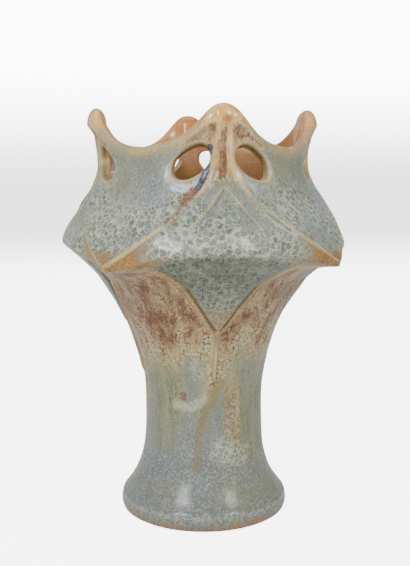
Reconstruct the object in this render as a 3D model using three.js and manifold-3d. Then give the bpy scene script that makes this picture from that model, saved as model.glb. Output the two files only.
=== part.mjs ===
// A stoneware vase in the Art Nouveau manner, 300 mm tall, built up from separate clay members
// that are luted edge to edge: a thrown foot, stem and collar, then four panels, pendants,
// corner brackets, webs, horned straps and leaf veins that make the petalled shoulder and crown.
// Millimetres, +Z up, origin at the centre of the base. One horn leans out toward -Y.
import * as THREE from "three";
import { mergeVertices } from "three/addons/utils/BufferGeometryUtils.js";
import Module from "manifold-3d";

// Foot and stem
const FOOT_RADIUS = 63.1; // widest part of the foot's rim band
const BASE_INSET = 2.5; // the standing edge, inside the widest part
const BAND_INSET = 1.2; // top of the rim band, inside the widest part
const FOOT_BULGE_HEIGHT = 7;
const FOOT_BAND_HEIGHT = 13.5;
const FOOT_FLARE = 2.9; // how quickly the bell of the foot closes on the waist
const FLOOR_THICKNESS = 10;
const FOOT_BELL = 16.5; // from the rim band to where the foot is luted to the stem
const WAIST_RADIUS = 43.8;
const WAIST_RISE = 62.5; // from the rim band to the waist
const STEM_RISE = 21; // from the waist to where the stem is luted to the collar
const STEM_WALL = 7.5;

// Collar: the trumpet that carries the shoulder
const COLLAR_RADIUS = 74.8; // outside, at its top edge
const COLLAR_RISE = 102; // from the waist to its top edge
const COLLAR_FLARE = 2.25;
const COLLAR_WALL = 8;

// Shoulder: the rounded keel below the four petals and the four drooping corner tips
const KEEL_RADIUS = 105.2;
const KEEL_RISE = 26.5; // from the collar to the keel, at the middle of a petal
const CORNER_REACH = 8.4; // a corner's point over the keel's radius
const CORNER_DROP = 13.9; // from the keel down to a corner's point
const CORNER_LIP = 4; // thickness of a corner tip at its point
const KEEL_INNER_LIFT = 2; // rise of the inside over a corner's lip
const KEEL_DROOP = 6.5; // fall of the keel from the middle of a petal to its bracket
const BRACKET_ANGLE = 30; // degrees from a petal's middle to the bracket's edge, at the keel
const UNDERCUT_SHARE = 0.4175; // pull of the hollow under a corner, from collar to corner
const UNDERCUT_DRAW = 5; // less radius beside a pendant
const UNDERCUT_RISE = 13.5; // from the collar up to the pull of the hollow
const UNDERCUT_WALL = 7; // from that pull to the one inside the wall
const UNDERCUT_LIFT = 1.5; // thicker clay inside a pendant
const UNDERCUT_CORNER_LIFT = 4.5; // and inside a corner
const PETAL_CROWN = 1.4; // swell of a petal's face

// Crown: ribs, webs, saddles and horns
const PETAL_RISE = 45.5; // from the keel to the foot of a rib
const RIB_FOOT_HALF_WIDTH = 9.6;
const RIB_HALF_WIDTH = 5;
const RIB_TAPER = 10; // height over which the rib's foot narrows
const RIDGE_PROUD = 1.6; // a ridge over the petal it edges
const RIDGE_SWEEP = 1.2; // bow of a ridge on its way to the corner
const GROOVE_DEPTH = 1.2; // groove between the two ridges of a rib
const NECK_RADIUS = 75.2; // narrowest part of the crown, at a rib
const NECK_RISE = 12; // from the foot of a rib to the neck
const NECK_STEEPNESS = 0.75; // slope of the petal where it meets the keel
const HORN_REACH = 10.6; // a horn's lean over the neck
const HORN_RISE = 28; // from a saddle to the top of a horn
const HORN_SHOULDER = 15; // degrees at which a horn has lost half its height
const HORN_ROUNDNESS = 2.4;
const HORN_LEAN = 2.2;
const HORN_TIP_DROP = 6; // from the top of a horn to its outermost point
const HORN_THICKNESS = 15.5;
const HORN_SPREAD = 10; // degrees over which a horn thins to the wall
const STRAP_ANGLE = 30; // degrees from a horn's middle to the edge of its strap, at the rim
const SADDLE_INSET = 2; // a saddle inside the neck's radius
const SADDLE_RISE = 10; // from the neck to a saddle
const WEB_HOLLOW = 1.5; // how hollow the web runs down to the corner
const WEB_FOOT_RISE = 10.4; // from a corner's point to the web's end on the bracket's tip
const CROWN_WALL = 8; // measured along the radius

// Holes: a slanted teardrop on each side of a rib, level with the neck
const HOLE_ANGLE = 15.9; // degrees from the rib's middle to the hole's centre
const HOLE_HALF_WIDTH = 12;
const HOLE_HALF_HEIGHT = 12.4;
const HOLE_SLANT = 0.5; // outward lean of the teardrop, downwards
const HOLE_POINT = 0.2; // how sharply its top is drawn in

// Pendants and veins: the applied leaf below each petal
const PENDANT_LENGTH = 33; // from the collar's top edge down to the tip
const PENDANT_PROUD = 3.2; // its middle, over the collar
const PENDANT_EDGE_PROUD = 2.4;
const PENDANT_SIDE_ANGLE = 18.2; // degrees at the collar's top edge
const PENDANT_TAPER = 1.25;
const PENDANT_TIP_HALF_WIDTH = 0.9;
const BORDER_WIDTH = 4.6; // raised border beside a pendant, at its top
const BORDER_PROUD = 1.5;
const VEIN_LENGTH = 41; // from a pendant's tip down to the vein's end
const VEIN_HALF_WIDTH = 1.7;
const VEIN_END_HALF_WIDTH = 0.8;
const VEIN_PROUD = 1.8;
const VEIN_EDGE = 0.35; // thinnest part of a vein or border

const GAP = 0.3; // slip joint between neighbouring members
const RIDGE_STEPS = 7; // facets along a ridge, shared by the petal and the web that meet there
const STRAP_STEPS = 6; // facets up the joint between a strap and a web
const AROUND = 32; // facets of a thrown member

// Heights above the table, each stacked on the one before
const WAIST_HEIGHT = FOOT_BAND_HEIGHT + WAIST_RISE;
const FOOT_JOIN_HEIGHT = FOOT_BAND_HEIGHT + FOOT_BELL;
const STEM_JOIN_HEIGHT = WAIST_HEIGHT + STEM_RISE;
const COLLAR_HEIGHT = WAIST_HEIGHT + COLLAR_RISE;
const PENDANT_TIP_HEIGHT = COLLAR_HEIGHT - PENDANT_LENGTH;
const VEIN_END_HEIGHT = PENDANT_TIP_HEIGHT - VEIN_LENGTH;
const UNDERCUT_HEIGHT = COLLAR_HEIGHT + UNDERCUT_RISE;
const KEEL_HEIGHT = COLLAR_HEIGHT + KEEL_RISE;
const CORNER_HEIGHT = KEEL_HEIGHT - CORNER_DROP;
const WEB_FOOT_HEIGHT = CORNER_HEIGHT + WEB_FOOT_RISE;
const RIB_FOOT_HEIGHT = KEEL_HEIGHT + PETAL_RISE;
const NECK_HEIGHT = RIB_FOOT_HEIGHT + NECK_RISE;
const SADDLE_HEIGHT = NECK_HEIGHT + SADDLE_RISE;
const HORN_HEIGHT = SADDLE_HEIGHT + HORN_RISE;

// Radii that follow from their neighbours
const BASE_RADIUS = FOOT_RADIUS - BASE_INSET;
const FOOT_BAND_RADIUS = FOOT_RADIUS - BAND_INSET;
const CORNER_RADIUS = KEEL_RADIUS + CORNER_REACH;
const UNDERCUT_RADIUS = COLLAR_RADIUS + UNDERCUT_SHARE * (CORNER_RADIUS - COLLAR_RADIUS);
const HORN_RADIUS = NECK_RADIUS + HORN_REACH;
const SADDLE_RADIUS = NECK_RADIUS - SADDLE_INSET;

const { min, max, pow, exp, cos, sin, abs, hypot, PI } = Math;
const mix = (a, b, f) => a + (b - a) * f;
const clamp = (f) => min(1, max(0, f));
const smooth = (f) => clamp(f) * clamp(f) * (3 - 2 * clamp(f));
const radians = (degrees) => (degrees * PI) / 180;
const QUARTER = 90;
const HALF = QUARTER / 2; // from the middle of a petal to a corner

const wasm = await Module();
wasm.setup();

function solidOf(geometry) {
  const bare = geometry.clone();
  bare.deleteAttribute("normal");
  bare.deleteAttribute("uv");
  const merged = mergeVertices(bare, 1e-4);
  return new wasm.Manifold(
    new wasm.Mesh({
      numProp: 3,
      vertProperties: merged.attributes.position.array,
      triVerts: new Uint32Array(merged.index.array),
    }),
  );
}

function geometryOf(solid) {
  const mesh = solid.getMesh();
  const position = new Float32Array(mesh.numVert * 3);
  for (let i = 0; i < mesh.numVert; i++) {
    const start = i * mesh.numProp;
    position.set(mesh.vertProperties.subarray(start, start + 3), i * 3);
  }
  return new THREE.BufferGeometry()
    .setAttribute("position", new THREE.BufferAttribute(position, 3))
    .setIndex(new THREE.BufferAttribute(mesh.triVerts, 1));
}

// Outer radius of foot, stem and collar at a height.
function thrownRadius(z) {
  if (z <= FOOT_BULGE_HEIGHT) {
    const f = 1 - z / FOOT_BULGE_HEIGHT;
    return mix(FOOT_RADIUS, BASE_RADIUS, f * f);
  }
  if (z <= FOOT_BAND_HEIGHT) {
    const f = (z - FOOT_BULGE_HEIGHT) / (FOOT_BAND_HEIGHT - FOOT_BULGE_HEIGHT);
    return mix(FOOT_RADIUS, FOOT_BAND_RADIUS, f * f);
  }
  if (z <= WAIST_HEIGHT) {
    const f = (WAIST_HEIGHT - z) / (WAIST_HEIGHT - FOOT_BAND_HEIGHT);
    return mix(WAIST_RADIUS, FOOT_BAND_RADIUS, pow(f, FOOT_FLARE));
  }
  const f = (z - WAIST_HEIGHT) / (COLLAR_HEIGHT - WAIST_HEIGHT);
  return mix(WAIST_RADIUS, COLLAR_RADIUS, pow(f, COLLAR_FLARE));
}

// Wall of the thrown members, thickening from the stem to the collar.
function thrownWall(z) {
  const f = (z - STEM_JOIN_HEIGHT) / (COLLAR_HEIGHT - STEM_JOIN_HEIGHT);
  return mix(STEM_WALL, COLLAR_WALL, clamp(f));
}

// A turned tube through outside heights, or a cup where a floor is given.
function thrown(levels, floor = 0) {
  const outer = levels.map((z) => new THREE.Vector2(thrownRadius(z), z));
  const inside = (z) => new THREE.Vector2(thrownRadius(z) - thrownWall(z), z);
  const profile = [];
  if (floor) {
    const corner = inside(floor + STEM_WALL);
    const bend = new THREE.QuadraticBezierCurve(
      corner,
      new THREE.Vector2(corner.x, floor),
      new THREE.Vector2(corner.x - STEM_WALL, floor),
    );
    profile.push(new THREE.Vector2(0, levels[0]), ...outer);
    levels
      .filter((z) => z > corner.y)
      .reverse()
      .forEach((z) => profile.push(inside(z)));
    profile.push(...bend.getPoints(4), new THREE.Vector2(0, floor));
  } else {
    profile.push(...outer, ...[...levels].reverse().map(inside), outer[0].clone());
  }
  const turned = new THREE.LatheGeometry(profile, AROUND);
  return turned.rotateX(PI / 2); // the lathe turns about +Y
}

// The surfaces of the shoulder and crown take t, the angle in degrees from the middle of a petal, 0 to 45.

// Height of the rim: a bell-shaped horn between level saddles.
function rimHeight(t) {
  const bell = (a) => 1 / (1 + pow(a / HORN_SHOULDER, HORN_ROUNDNESS));
  const f = (bell(t) - bell(HALF)) / (1 - bell(HALF));
  return mix(SADDLE_HEIGHT, HORN_HEIGHT, f);
}

// Outer radius at the middle of a petal, from the keel up the rib to the horn.
function ribRadius(z) {
  if (z >= NECK_HEIGHT) {
    const f = (z - NECK_HEIGHT) / (HORN_HEIGHT - HORN_TIP_DROP - NECK_HEIGHT);
    return mix(NECK_RADIUS, HORN_RADIUS, pow(min(1, f), HORN_LEAN));
  }
  const f = clamp((NECK_HEIGHT - z) / (NECK_HEIGHT - KEEL_HEIGHT));
  const eased = f * f * (3 - 2 * f) + NECK_STEEPNESS * (f * f * f - f * f);
  return mix(NECK_RADIUS, KEEL_RADIUS, eased);
}

// Outer radius down the middle of a web, from the saddle to the corner's point.
function webRadius(z) {
  const f = clamp((NECK_HEIGHT - z) / (NECK_HEIGHT - CORNER_HEIGHT - CORNER_LIP));
  return mix(SADDLE_RADIUS, CORNER_RADIUS, pow(f, WEB_HOLLOW));
}

// Angle of a ridge at a height: the edge of the rib above its foot, the edge of the petal below.
const RIB_FOOT_ANGLE = (RIB_FOOT_HALF_WIDTH / ribRadius(RIB_FOOT_HEIGHT)) * (180 / PI);

function ridgeAngle(z) {
  if (z >= RIB_FOOT_HEIGHT) {
    const f = exp(-(z - RIB_FOOT_HEIGHT) / RIB_TAPER);
    const half = mix(RIB_HALF_WIDTH, RIB_FOOT_HALF_WIDTH, f);
    return (half / ribRadius(z)) * (180 / PI);
  }
  const f = (RIB_FOOT_HEIGHT - z) / (RIB_FOOT_HEIGHT - CORNER_HEIGHT - CORNER_LIP);
  return mix(RIB_FOOT_ANGLE, HALF, pow(clamp(f), RIDGE_SWEEP));
}

const PETAL_END_ANGLE = ridgeAngle(WEB_FOOT_HEIGHT);

// Height of the ridge at an angle, the inverse of ridgeAngle below the rib's foot.
function ridgeHeight(t) {
  const f = pow(clamp((t - RIB_FOOT_ANGLE) / (HALF - RIB_FOOT_ANGLE)), 1 / RIDGE_SWEEP);
  return mix(RIB_FOOT_HEIGHT, CORNER_HEIGHT + CORNER_LIP, f);
}

function ridgeRadius(z) {
  const t = ridgeAngle(z);
  const f = clamp((t - BRACKET_ANGLE) / (HALF - BRACKET_ANGLE));
  return mix(ribRadius(max(z, KEEL_HEIGHT)) + RIDGE_PROUD, CORNER_RADIUS, f * f);
}

// Outer radius of ribs, horns, saddles and webs.
function crownRadius(t, z) {
  const edge = ridgeAngle(z);
  if (t < edge) {
    const f = pow(t / edge, 2);
    return ribRadius(z) + mix(-GROOVE_DEPTH + RIDGE_PROUD, RIDGE_PROUD, f);
  }
  return mix(ridgeRadius(z), webRadius(z), smooth((t - edge) / max(0.5, HALF - edge)));
}

// Thickness of the crown along the radius, swelling to a round horn at the top of a rib.
function crownWall(t, z) {
  const start = NECK_HEIGHT + HOLE_HALF_HEIGHT / 2;
  const rise = smooth((z - start) / (HORN_HEIGHT - HORN_TIP_DROP - NECK_HEIGHT));
  return mix(CROWN_WALL, HORN_THICKNESS, rise * exp(-pow(t / HORN_SPREAD, 2)));
}

// The keel: lower edge of petals and corner tips, as [radius, height], outside and inside.
function keel(t) {
  if (t <= BRACKET_ANGLE) {
    const f = pow(t / BRACKET_ANGLE, 2);
    return [KEEL_RADIUS - PETAL_CROWN * f, KEEL_HEIGHT - KEEL_DROOP * f];
  }
  const f = (t - BRACKET_ANGLE) / (HALF - BRACKET_ANGLE);
  return [
    mix(KEEL_RADIUS - PETAL_CROWN, CORNER_RADIUS, f * f),
    mix(KEEL_HEIGHT - KEEL_DROOP, CORNER_HEIGHT, f),
  ];
}

function keelInside(t) {
  const [radius, height] = keel(t);
  const f = smooth(t / HALF);
  return [radius - CROWN_WALL - CORNER_LIP * f, height + (CORNER_LIP + KEEL_INNER_LIFT) * f];
}

// Point of the shell below the keel, in a meridian plane: w runs from the keel to the collar.
function under(start, pull, end, w) {
  const bezier = (a, b, c) => (1 - w) * (1 - w) * a + 2 * w * (1 - w) * b + w * w * c;
  return [bezier(start[0], pull[0], end[0]), bezier(start[1], pull[1], end[1])];
}

const COLLAR_TOP_INSIDE = COLLAR_RADIUS - COLLAR_WALL;

function underOutside(t, w) {
  const f = clamp((t - BRACKET_ANGLE) / (HALF - BRACKET_ANGLE));
  const pull = [
    UNDERCUT_RADIUS - UNDERCUT_DRAW * (1 - f),
    UNDERCUT_HEIGHT - (CORNER_LIP / 2) * (1 - f),
  ];
  return under(keel(t), pull, [COLLAR_RADIUS, COLLAR_HEIGHT + GAP], w);
}

function underInside(t, w) {
  const lift = mix(UNDERCUT_LIFT, UNDERCUT_CORNER_LIFT, t / HALF);
  const pull = [UNDERCUT_RADIUS - UNDERCUT_WALL, UNDERCUT_HEIGHT + lift];
  return under(keelInside(t), pull, [COLLAR_TOP_INSIDE, COLLAR_HEIGHT + GAP], w);
}

// Half-angle of a pendant at a height below the collar's top edge.
function pendantAngle(z) {
  const f = clamp((z - PENDANT_TIP_HEIGHT) / (COLLAR_HEIGHT - PENDANT_TIP_HEIGHT));
  const tip = (PENDANT_TIP_HALF_WIDTH / thrownRadius(PENDANT_TIP_HEIGHT)) * (180 / PI);
  return mix(tip, PENDANT_SIDE_ANGLE, pow(f, 1 / PENDANT_TAPER));
}

// Half-angle of a pendant between the keel and the collar.
const pendantSide = (w) => mix(BRACKET_ANGLE, PENDANT_SIDE_ANGLE, pow(w, PENDANT_TAPER));

// A point from an angle counted from the horn at -Y, a radius and a height.
function at(angle, radius, z) {
  const a = radians(angle - 90);
  return new THREE.Vector3(radius * cos(a), radius * sin(a), z);
}

// A closed loft through ladders: each ladder is one section, with its outer points from bottom
// to top, an optional round cap over the top, and as many inner points.
function loft(ladders) {
  const { outer: first, cap: firstCap } = ladders[0];
  const rungs = first.length;
  const capCount = firstCap.length;
  const size = rungs * 2 + capCount;
  const points = ladders.flatMap(({ outer, cap, inner }) => {
    return [...outer, ...cap, ...[...inner].reverse()];
  });
  const faces = [];
  const quad = (a, b, c, d) => faces.push(a, b, c, a, c, d);
  for (let i = 0; i + 1 < ladders.length; i++) {
    for (let j = 0; j < size; j++) {
      const k = (j + 1) % size;
      quad(i * size + j, (i + 1) * size + j, (i + 1) * size + k, i * size + k);
    }
  }
  const close = (base, flip) => {
    const tri = (a, b, c) => faces.push(base + a, base + (flip ? c : b), base + (flip ? b : c));
    for (let j = 0; j + 1 < rungs; j++) {
      const k = size - 1 - j;
      tri(j, j + 1, k);
      tri(j + 1, k - 1, k);
    }
    for (let j = 0; j < capCount; j++) {
      tri(rungs - 1 + j, rungs + j, rungs + capCount);
    }
  };
  close(0, false);
  close((ladders.length - 1) * size, true);
  const position = new Float32Array(points.flatMap((p) => [p.x, p.y, p.z]));
  return new THREE.BufferGeometry()
    .setAttribute("position", new THREE.BufferAttribute(position, 3))
    .setIndex(faces);
}

const steps = (count) => Array.from({ length: count + 1 }, (_, i) => i / count);

// The rounded rim over the top of a section, from the outer to the inner face.
function rimCap(angle, radius, wall, z) {
  return [1, 2, 3].map((i) => {
    const a = (i * PI) / 4;
    return at(angle, radius - wall / 2 + (wall / 2) * cos(a), z + (wall / 2) * sin(a));
  });
}

// A section of the crown at one column: angles and heights of its rungs from bottom to top.
function crownLadder(rungs) {
  const side = (a) => abs(a > HALF ? QUARTER - a : a);
  const wallAt = ([a, z]) => crownWall(side(a), z);
  const face = ([a, z]) => crownRadius(side(a), z);
  const last = rungs[rungs.length - 1];
  const outer = rungs.map((rung) => at(rung[0], face(rung), rung[1]));
  const inner = rungs.map((rung) => at(rung[0], face(rung) - wallAt(rung), rung[1]));
  const cap = rimCap(last[0], face(last), wallAt(last), last[1]);
  return { outer, cap, inner };
}

// Height of the top rung, which leaves room for the rounded rim.
function topRung(t) {
  return rimHeight(t) - crownWall(t, rimHeight(t)) / 2;
}

// Angle that a distance along the wall takes at a radius.
const angleOf = (distance, radius) => (distance / radius) * (180 / PI);

// Boundary between a strap and a web: from the rim through the hole to the rib's foot.
function strapEdge(f) {
  const top = topRung(STRAP_ANGLE);
  return [mix(RIB_FOOT_ANGLE, STRAP_ANGLE, f), mix(RIB_FOOT_HEIGHT, top, f)];
}

function strap() {
  const half = [0.09, 0.18, 0.3, 0.46, 0.7, 1];
  const columns = [...half.map((u) => -u).reverse(), 0, ...half];
  const edge = angleOf(GAP * 0.75, NECK_RADIUS);
  return loft(
    columns.map((u) => {
      const top = topRung(abs(u) * STRAP_ANGLE);
      return crownLadder(
        steps(STRAP_STEPS).map((f) => {
          const clearance = (GAP / 2) * (1 - f);
          return [u * (strapEdge(f)[0] - edge), mix(RIB_FOOT_HEIGHT, top, f) + clearance];
        }),
      );
    }),
  );
}

// Left boundary of a web from its foot to the rim, as angle and height.
function webEdge(f) {
  const bend = RIDGE_STEPS / (RIDGE_STEPS + STRAP_STEPS);
  if (f >= bend) {
    const [t, z] = strapEdge((f - bend) / (1 - bend));
    return [t + angleOf(GAP * 0.75, NECK_RADIUS), z];
  }
  const t = mix(PETAL_END_ANGLE, RIB_FOOT_ANGLE, f / bend);
  return [t, ridgeHeight(t) + ridgeGap(t)];
}

// Vertical clearance that leaves half the gap square to the ridge.
function ridgeGap(t) {
  const step = 0.5;
  const run = radians(step) * ridgeRadius(ridgeHeight(t));
  const slope = abs(ridgeHeight(t + step) - ridgeHeight(t)) / run;
  return GAP * 0.7 * hypot(1, slope);
}

function web() {
  return loft(
    steps(8).map((u) =>
      crownLadder(
        steps(RIDGE_STEPS + STRAP_STEPS).map((f) => {
          const [t, z] = webEdge(f);
          const angle = mix(t, QUARTER - t, u);
          const middle = mix(WEB_FOOT_HEIGHT, topRung(HALF), f);
          const across = 4 * u * (1 - u);
          const top = topRung(abs(angle > HALF ? QUARTER - angle : angle));
          return [angle, mix(mix(z, middle, across), top, f === 1 ? 1 : 0)];
        }),
      ),
    ),
  );
}

// The through-hole beside a rib, as a prism of radial lines; side is 1 or -1.
function holeCutter(side) {
  const count = 24;
  const outline = steps(count)
    .slice(0, count)
    .map((f) => {
      const a = 2 * PI * f;
      const narrowing = 1 - HOLE_POINT * max(0, sin(a));
      const x = HOLE_HALF_WIDTH * cos(a) * narrowing;
      const z = HOLE_HALF_HEIGHT * sin(a);
      return [side * (HOLE_ANGLE + angleOf(x - HOLE_SLANT * z, NECK_RADIUS)), NECK_HEIGHT + z];
    });
  const near = NECK_RADIUS - 3 * CROWN_WALL;
  const far = NECK_RADIUS + 3 * CROWN_WALL;
  const points = [near, far].flatMap((radius) => outline.map(([a, z]) => at(a, radius, z)));
  const faces = [];
  for (let i = 0; i < count; i++) {
    const j = (i + 1) % count;
    faces.push(i, j, count + j, i, count + j, count + i);
    if (i > 0 && i < count - 1) {
      faces.push(0, i + 1, i);
      faces.push(count, count + i, count + i + 1);
    }
  }
  if (side < 0) faces.reverse(); // a mirrored prism would be inside out
  const position = new Float32Array(points.flatMap((p) => [p.x, p.y, p.z]));
  return new THREE.BufferGeometry()
    .setAttribute("position", new THREE.BufferAttribute(position, 3))
    .setIndex(faces);
}

// The roof panel of a petal: from the ridges down to the keel, with blunt ends at the tips.
function petal() {
  const bends = [0, 0.5, 1].map((f) => f * RIB_FOOT_ANGLE);
  const rest = steps(RIDGE_STEPS)
    .slice(1)
    .map((f) => mix(RIB_FOOT_ANGLE, PETAL_END_ANGLE, f));
  const half = [...bends, ...rest];
  const columns = [...half.slice(1).map((t) => -t).reverse(), ...half];
  return loft(
    columns.map((angle) => {
      const t = abs(angle);
      const [keelRadius, keelHeight] = keel(t);
      const [insideRadius, insideHeight] = keelInside(t);
      const flat = t < RIB_FOOT_ANGLE;
      const topZ = flat ? RIB_FOOT_HEIGHT - GAP / 2 : ridgeHeight(t) - ridgeGap(t);
      const topRadius = flat ? crownRadius(t, RIB_FOOT_HEIGHT) : ridgeRadius(ridgeHeight(t));
      const outer = [];
      const inner = [];
      for (const f of steps(4)) {
        const swell = PETAL_CROWN * sin(PI * pow(1 - f, 1.5)) * (1 - t / HALF);
        const share = petalShare(f, t);
        const radius = mix(keelRadius, topRadius, share) + swell;
        const insideFace = mix(insideRadius, topRadius - CROWN_WALL, share);
        outer.push(at(angle, radius, mix(keelHeight + GAP / 2, topZ, f)));
        inner.push(at(angle, insideFace, mix(insideHeight + GAP / 2, topZ, f)));
      }
      return { outer, cap: [], inner };
    }),
  );
}

// How far the petal's face has come in from the keel to the ridge, at a share of its height.
function petalShare(f, t) {
  const z = mix(KEEL_HEIGHT, RIB_FOOT_HEIGHT, f);
  const whole = KEEL_RADIUS - ribRadius(RIB_FOOT_HEIGHT);
  const bowed = (KEEL_RADIUS - ribRadius(z)) / whole;
  return mix(bowed, f, smooth(t / BRACKET_ANGLE));
}

// A pendant: the outer shell between two brackets, running on as an applied leaf on the collar.
function pendant() {
  const shoulder = steps(6).slice(0, -1).reverse();
  const blade = steps(8).reverse();
  const side = (w) => pendantSide(w) - angleOf(GAP * 0.75, COLLAR_RADIUS);
  return loft(
    [-1, -0.7, -0.35, 0, 0.35, 0.7, 1].map((u) => {
      const outer = [];
      const inner = [];
      const across = u * u;
      for (const f of blade) {
        const z = mix(COLLAR_HEIGHT, PENDANT_TIP_HEIGHT, f);
        const angle = u * (pendantAngle(z) - angleOf(GAP * 0.75, COLLAR_RADIUS) * (1 - f));
        const proud = mix(PENDANT_PROUD, PENDANT_EDGE_PROUD, across) * mix(1, 0.7, f);
        outer.push(at(angle, thrownRadius(z) + proud, z));
        inner.push(at(angle, thrownRadius(z) + GAP, z));
      }
      for (const w of shoulder) {
        const t = abs(u) * BRACKET_ANGLE;
        const angle = u * side(w);
        const [edgeRadius, edgeZ] = underOutside(BRACKET_ANGLE, w);
        const [midRadius, midZ] = pendantSpine(w);
        const proud = PENDANT_EDGE_PROUD * smooth(w * 4);
        const radius = mix(midRadius, edgeRadius + proud, across);
        const z = mix(midZ, edgeZ, across) - (w === 0 ? GAP / 2 : 0);
        outer.push(at(angle, radius, z));
        const [insideRadius, insideZ] = underInside(t, w);
        inner.push(at(angle, insideRadius, insideZ - (w === 0 ? GAP / 2 : 0)));
      }
      return { outer, cap: [], inner };
    }),
  );
}

// Middle line of a pendant from the keel to the collar's top edge.
function pendantSpine(w) {
  const end = [COLLAR_RADIUS + PENDANT_PROUD, COLLAR_HEIGHT + GAP];
  const pull = [mix(KEEL_RADIUS, end[0], 0.5), mix(KEEL_HEIGHT, end[1], 0.42)];
  return under([KEEL_RADIUS, KEEL_HEIGHT], pull, end, w);
}

// A corner bracket: the hollow underside between two pendants, joined to its drooping tip.
function bracket() {
  const gap = angleOf(GAP * 0.75, COLLAR_RADIUS);
  const shell = loft(
    steps(8).map((u) => {
      const t0 = mix(BRACKET_ANGLE, QUARTER - BRACKET_ANGLE, u);
      const t = t0 > HALF ? QUARTER - t0 : t0;
      const rungs = steps(6).reverse();
      const place = (w, point) => {
        const edge = pendantSide(w) + gap;
        return at(mix(edge, QUARTER - edge, u), point[0], point[1] - (w === 0 ? GAP / 2 : 0));
      };
      return {
        outer: rungs.map((w) => place(w, underOutside(t, w))),
        cap: [],
        inner: rungs.map((w) => place(w, underInside(t, w))),
      };
    }),
  );
  const start = PETAL_END_ANGLE + angleOf(GAP, CORNER_RADIUS);
  const tip = loft(
    steps(6).map((u) => {
      const angle = mix(start, QUARTER - start, u);
      const t = angle > HALF ? QUARTER - angle : angle;
      const top = WEB_FOOT_HEIGHT - GAP;
      const topRadius = crownRadius(t, top);
      const [keelRadius, keelHeight] = keel(t);
      const [insideRadius, insideHeight] = keelInside(t);
      const pointed = smooth((t - start) / (HALF - start));
      const lip = mix(mix(topRadius, keelRadius, 0.5), keelRadius, pointed);
      const bottom = insideHeight - GAP * 2;
      return {
        outer: [
          at(angle, keelRadius - GAP, keelHeight - GAP * 2),
          at(angle, lip, keelHeight + CORNER_LIP),
          at(angle, topRadius, top),
        ],
        cap: [],
        inner: [0, 0.5, 1].map((f) => {
          return at(angle, mix(insideRadius, topRadius - CROWN_WALL, f), mix(bottom, top, f));
        }),
      };
    }),
  );
  return solidOf(shell).add(solidOf(tip));
}

// Raised border along both lower edges of a pendant, meeting in a vein that runs down the collar.
function vein() {
  const rise = (z, share) => thrownRadius(z) + GAP + share;
  const round = [-1, 0, 1];
  const rib = (sections) =>
    loft(
      [...sections].reverse().map(({ z, centre, half, proud }) => ({
        outer: round.map((u) => {
          const a = centre + angleOf(half * u, thrownRadius(z));
          return at(a, rise(z, max(VEIN_EDGE, proud * (1 - u * u))), z);
        }),
        cap: [],
        inner: round.map((u) => {
          const a = centre + angleOf(half * u, thrownRadius(z));
          return at(a, rise(z, 0), z);
        }),
      })),
    );
  const stem = steps(4).map((f) => ({
    z: mix(VEIN_END_HEIGHT, PENDANT_TIP_HEIGHT - GAP, f),
    centre: 0,
    half: mix(VEIN_END_HALF_WIDTH, VEIN_HALF_WIDTH, pow(f, 0.6)),
    proud: VEIN_PROUD,
  }));
  const span = COLLAR_HEIGHT - 2 * GAP - PENDANT_TIP_HEIGHT;
  const arm = (side) =>
    [-0.15, 0, 0.07, 0.18, 0.35, 0.6, 1].map((f) => {
      const z = PENDANT_TIP_HEIGHT + span * f;
      const half = mix(VEIN_HALF_WIDTH * 0.7, BORDER_WIDTH / 2, max(0, f));
      const clear = angleOf(f < 0 ? 0 : half + 3 * GAP, thrownRadius(z));
      const centre = side * (f < 0 ? 0 : pendantAngle(z) + clear);
      return { z, centre, half, proud: BORDER_PROUD };
    });
  const arms = solidOf(rib(arm(1))).add(solidOf(rib(arm(-1))));
  return solidOf(rib(stem)).add(arms);
}

const vase = new THREE.Group();

function glaze(color, roughness) {
  return new THREE.MeshStandardMaterial({ color, roughness, metalness: 0 });
}

function addMember(name, geometry, color, roughness, quarter = 0) {
  const mesh = new THREE.Mesh(geometry, glaze(color, roughness));
  mesh.name = name;
  mesh.rotation.z = (quarter * PI) / 2;
  vase.add(mesh);
}

const between = (low, high, shares) => shares.map((f) => mix(low, high, f));
const footLevels = [
  0,
  FOOT_BULGE_HEIGHT * 0.3,
  FOOT_BULGE_HEIGHT,
  FOOT_BAND_HEIGHT,
  ...between(FOOT_BAND_HEIGHT, FOOT_JOIN_HEIGHT - GAP, [0.15, 0.4, 0.7, 1]),
];
const stemLevels = between(FOOT_JOIN_HEIGHT, STEM_JOIN_HEIGHT - GAP, [0, 0.09, 0.21, 0.39, 0.69, 1]);
const collarLevels = between(STEM_JOIN_HEIGHT, COLLAR_HEIGHT, [0, 0.19, 0.36, 0.51, 0.64, 0.77, 0.89, 1]);
addMember("foot", thrown(footLevels, FLOOR_THICKNESS), 0x7d8b8a, 0.32);
addMember("stem", thrown(stemLevels), 0x8a8f78, 0.34);
addMember("collar", thrown(collarLevels), 0x9a7658, 0.45);

const cutters = [-1, 1].map((side) => solidOf(holeCutter(side)));
const beside = solidOf(holeCutter(-1).rotateZ(radians(QUARTER)));
const strapSolid = solidOf(strap()).subtract(cutters[0]).subtract(cutters[1]);
const webSolid = solidOf(web()).subtract(cutters[1]).subtract(beside);
const bracketSolid = bracket();
const veinSolid = vein();

["front", "right", "back", "left"].forEach((place, quarter) => {
  addMember("horn_strap_" + place, geometryOf(strapSolid), 0xc79a6b, 0.36, quarter);
  addMember("petal_" + place, petal(), 0x8f9b95, 0.3, quarter);
  addMember("pendant_" + place, pendant(), 0x7f8c84, 0.34, quarter);
  addMember("vein_" + place, geometryOf(veinSolid), 0xb98653, 0.4, quarter);
  addMember("web_" + place + "_right", geometryOf(webSolid), 0x93a0a0, 0.3, quarter);
  addMember("bracket_" + place + "_right", geometryOf(bracketSolid), 0xb58a58, 0.38, quarter);
});

export default vase;
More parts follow.
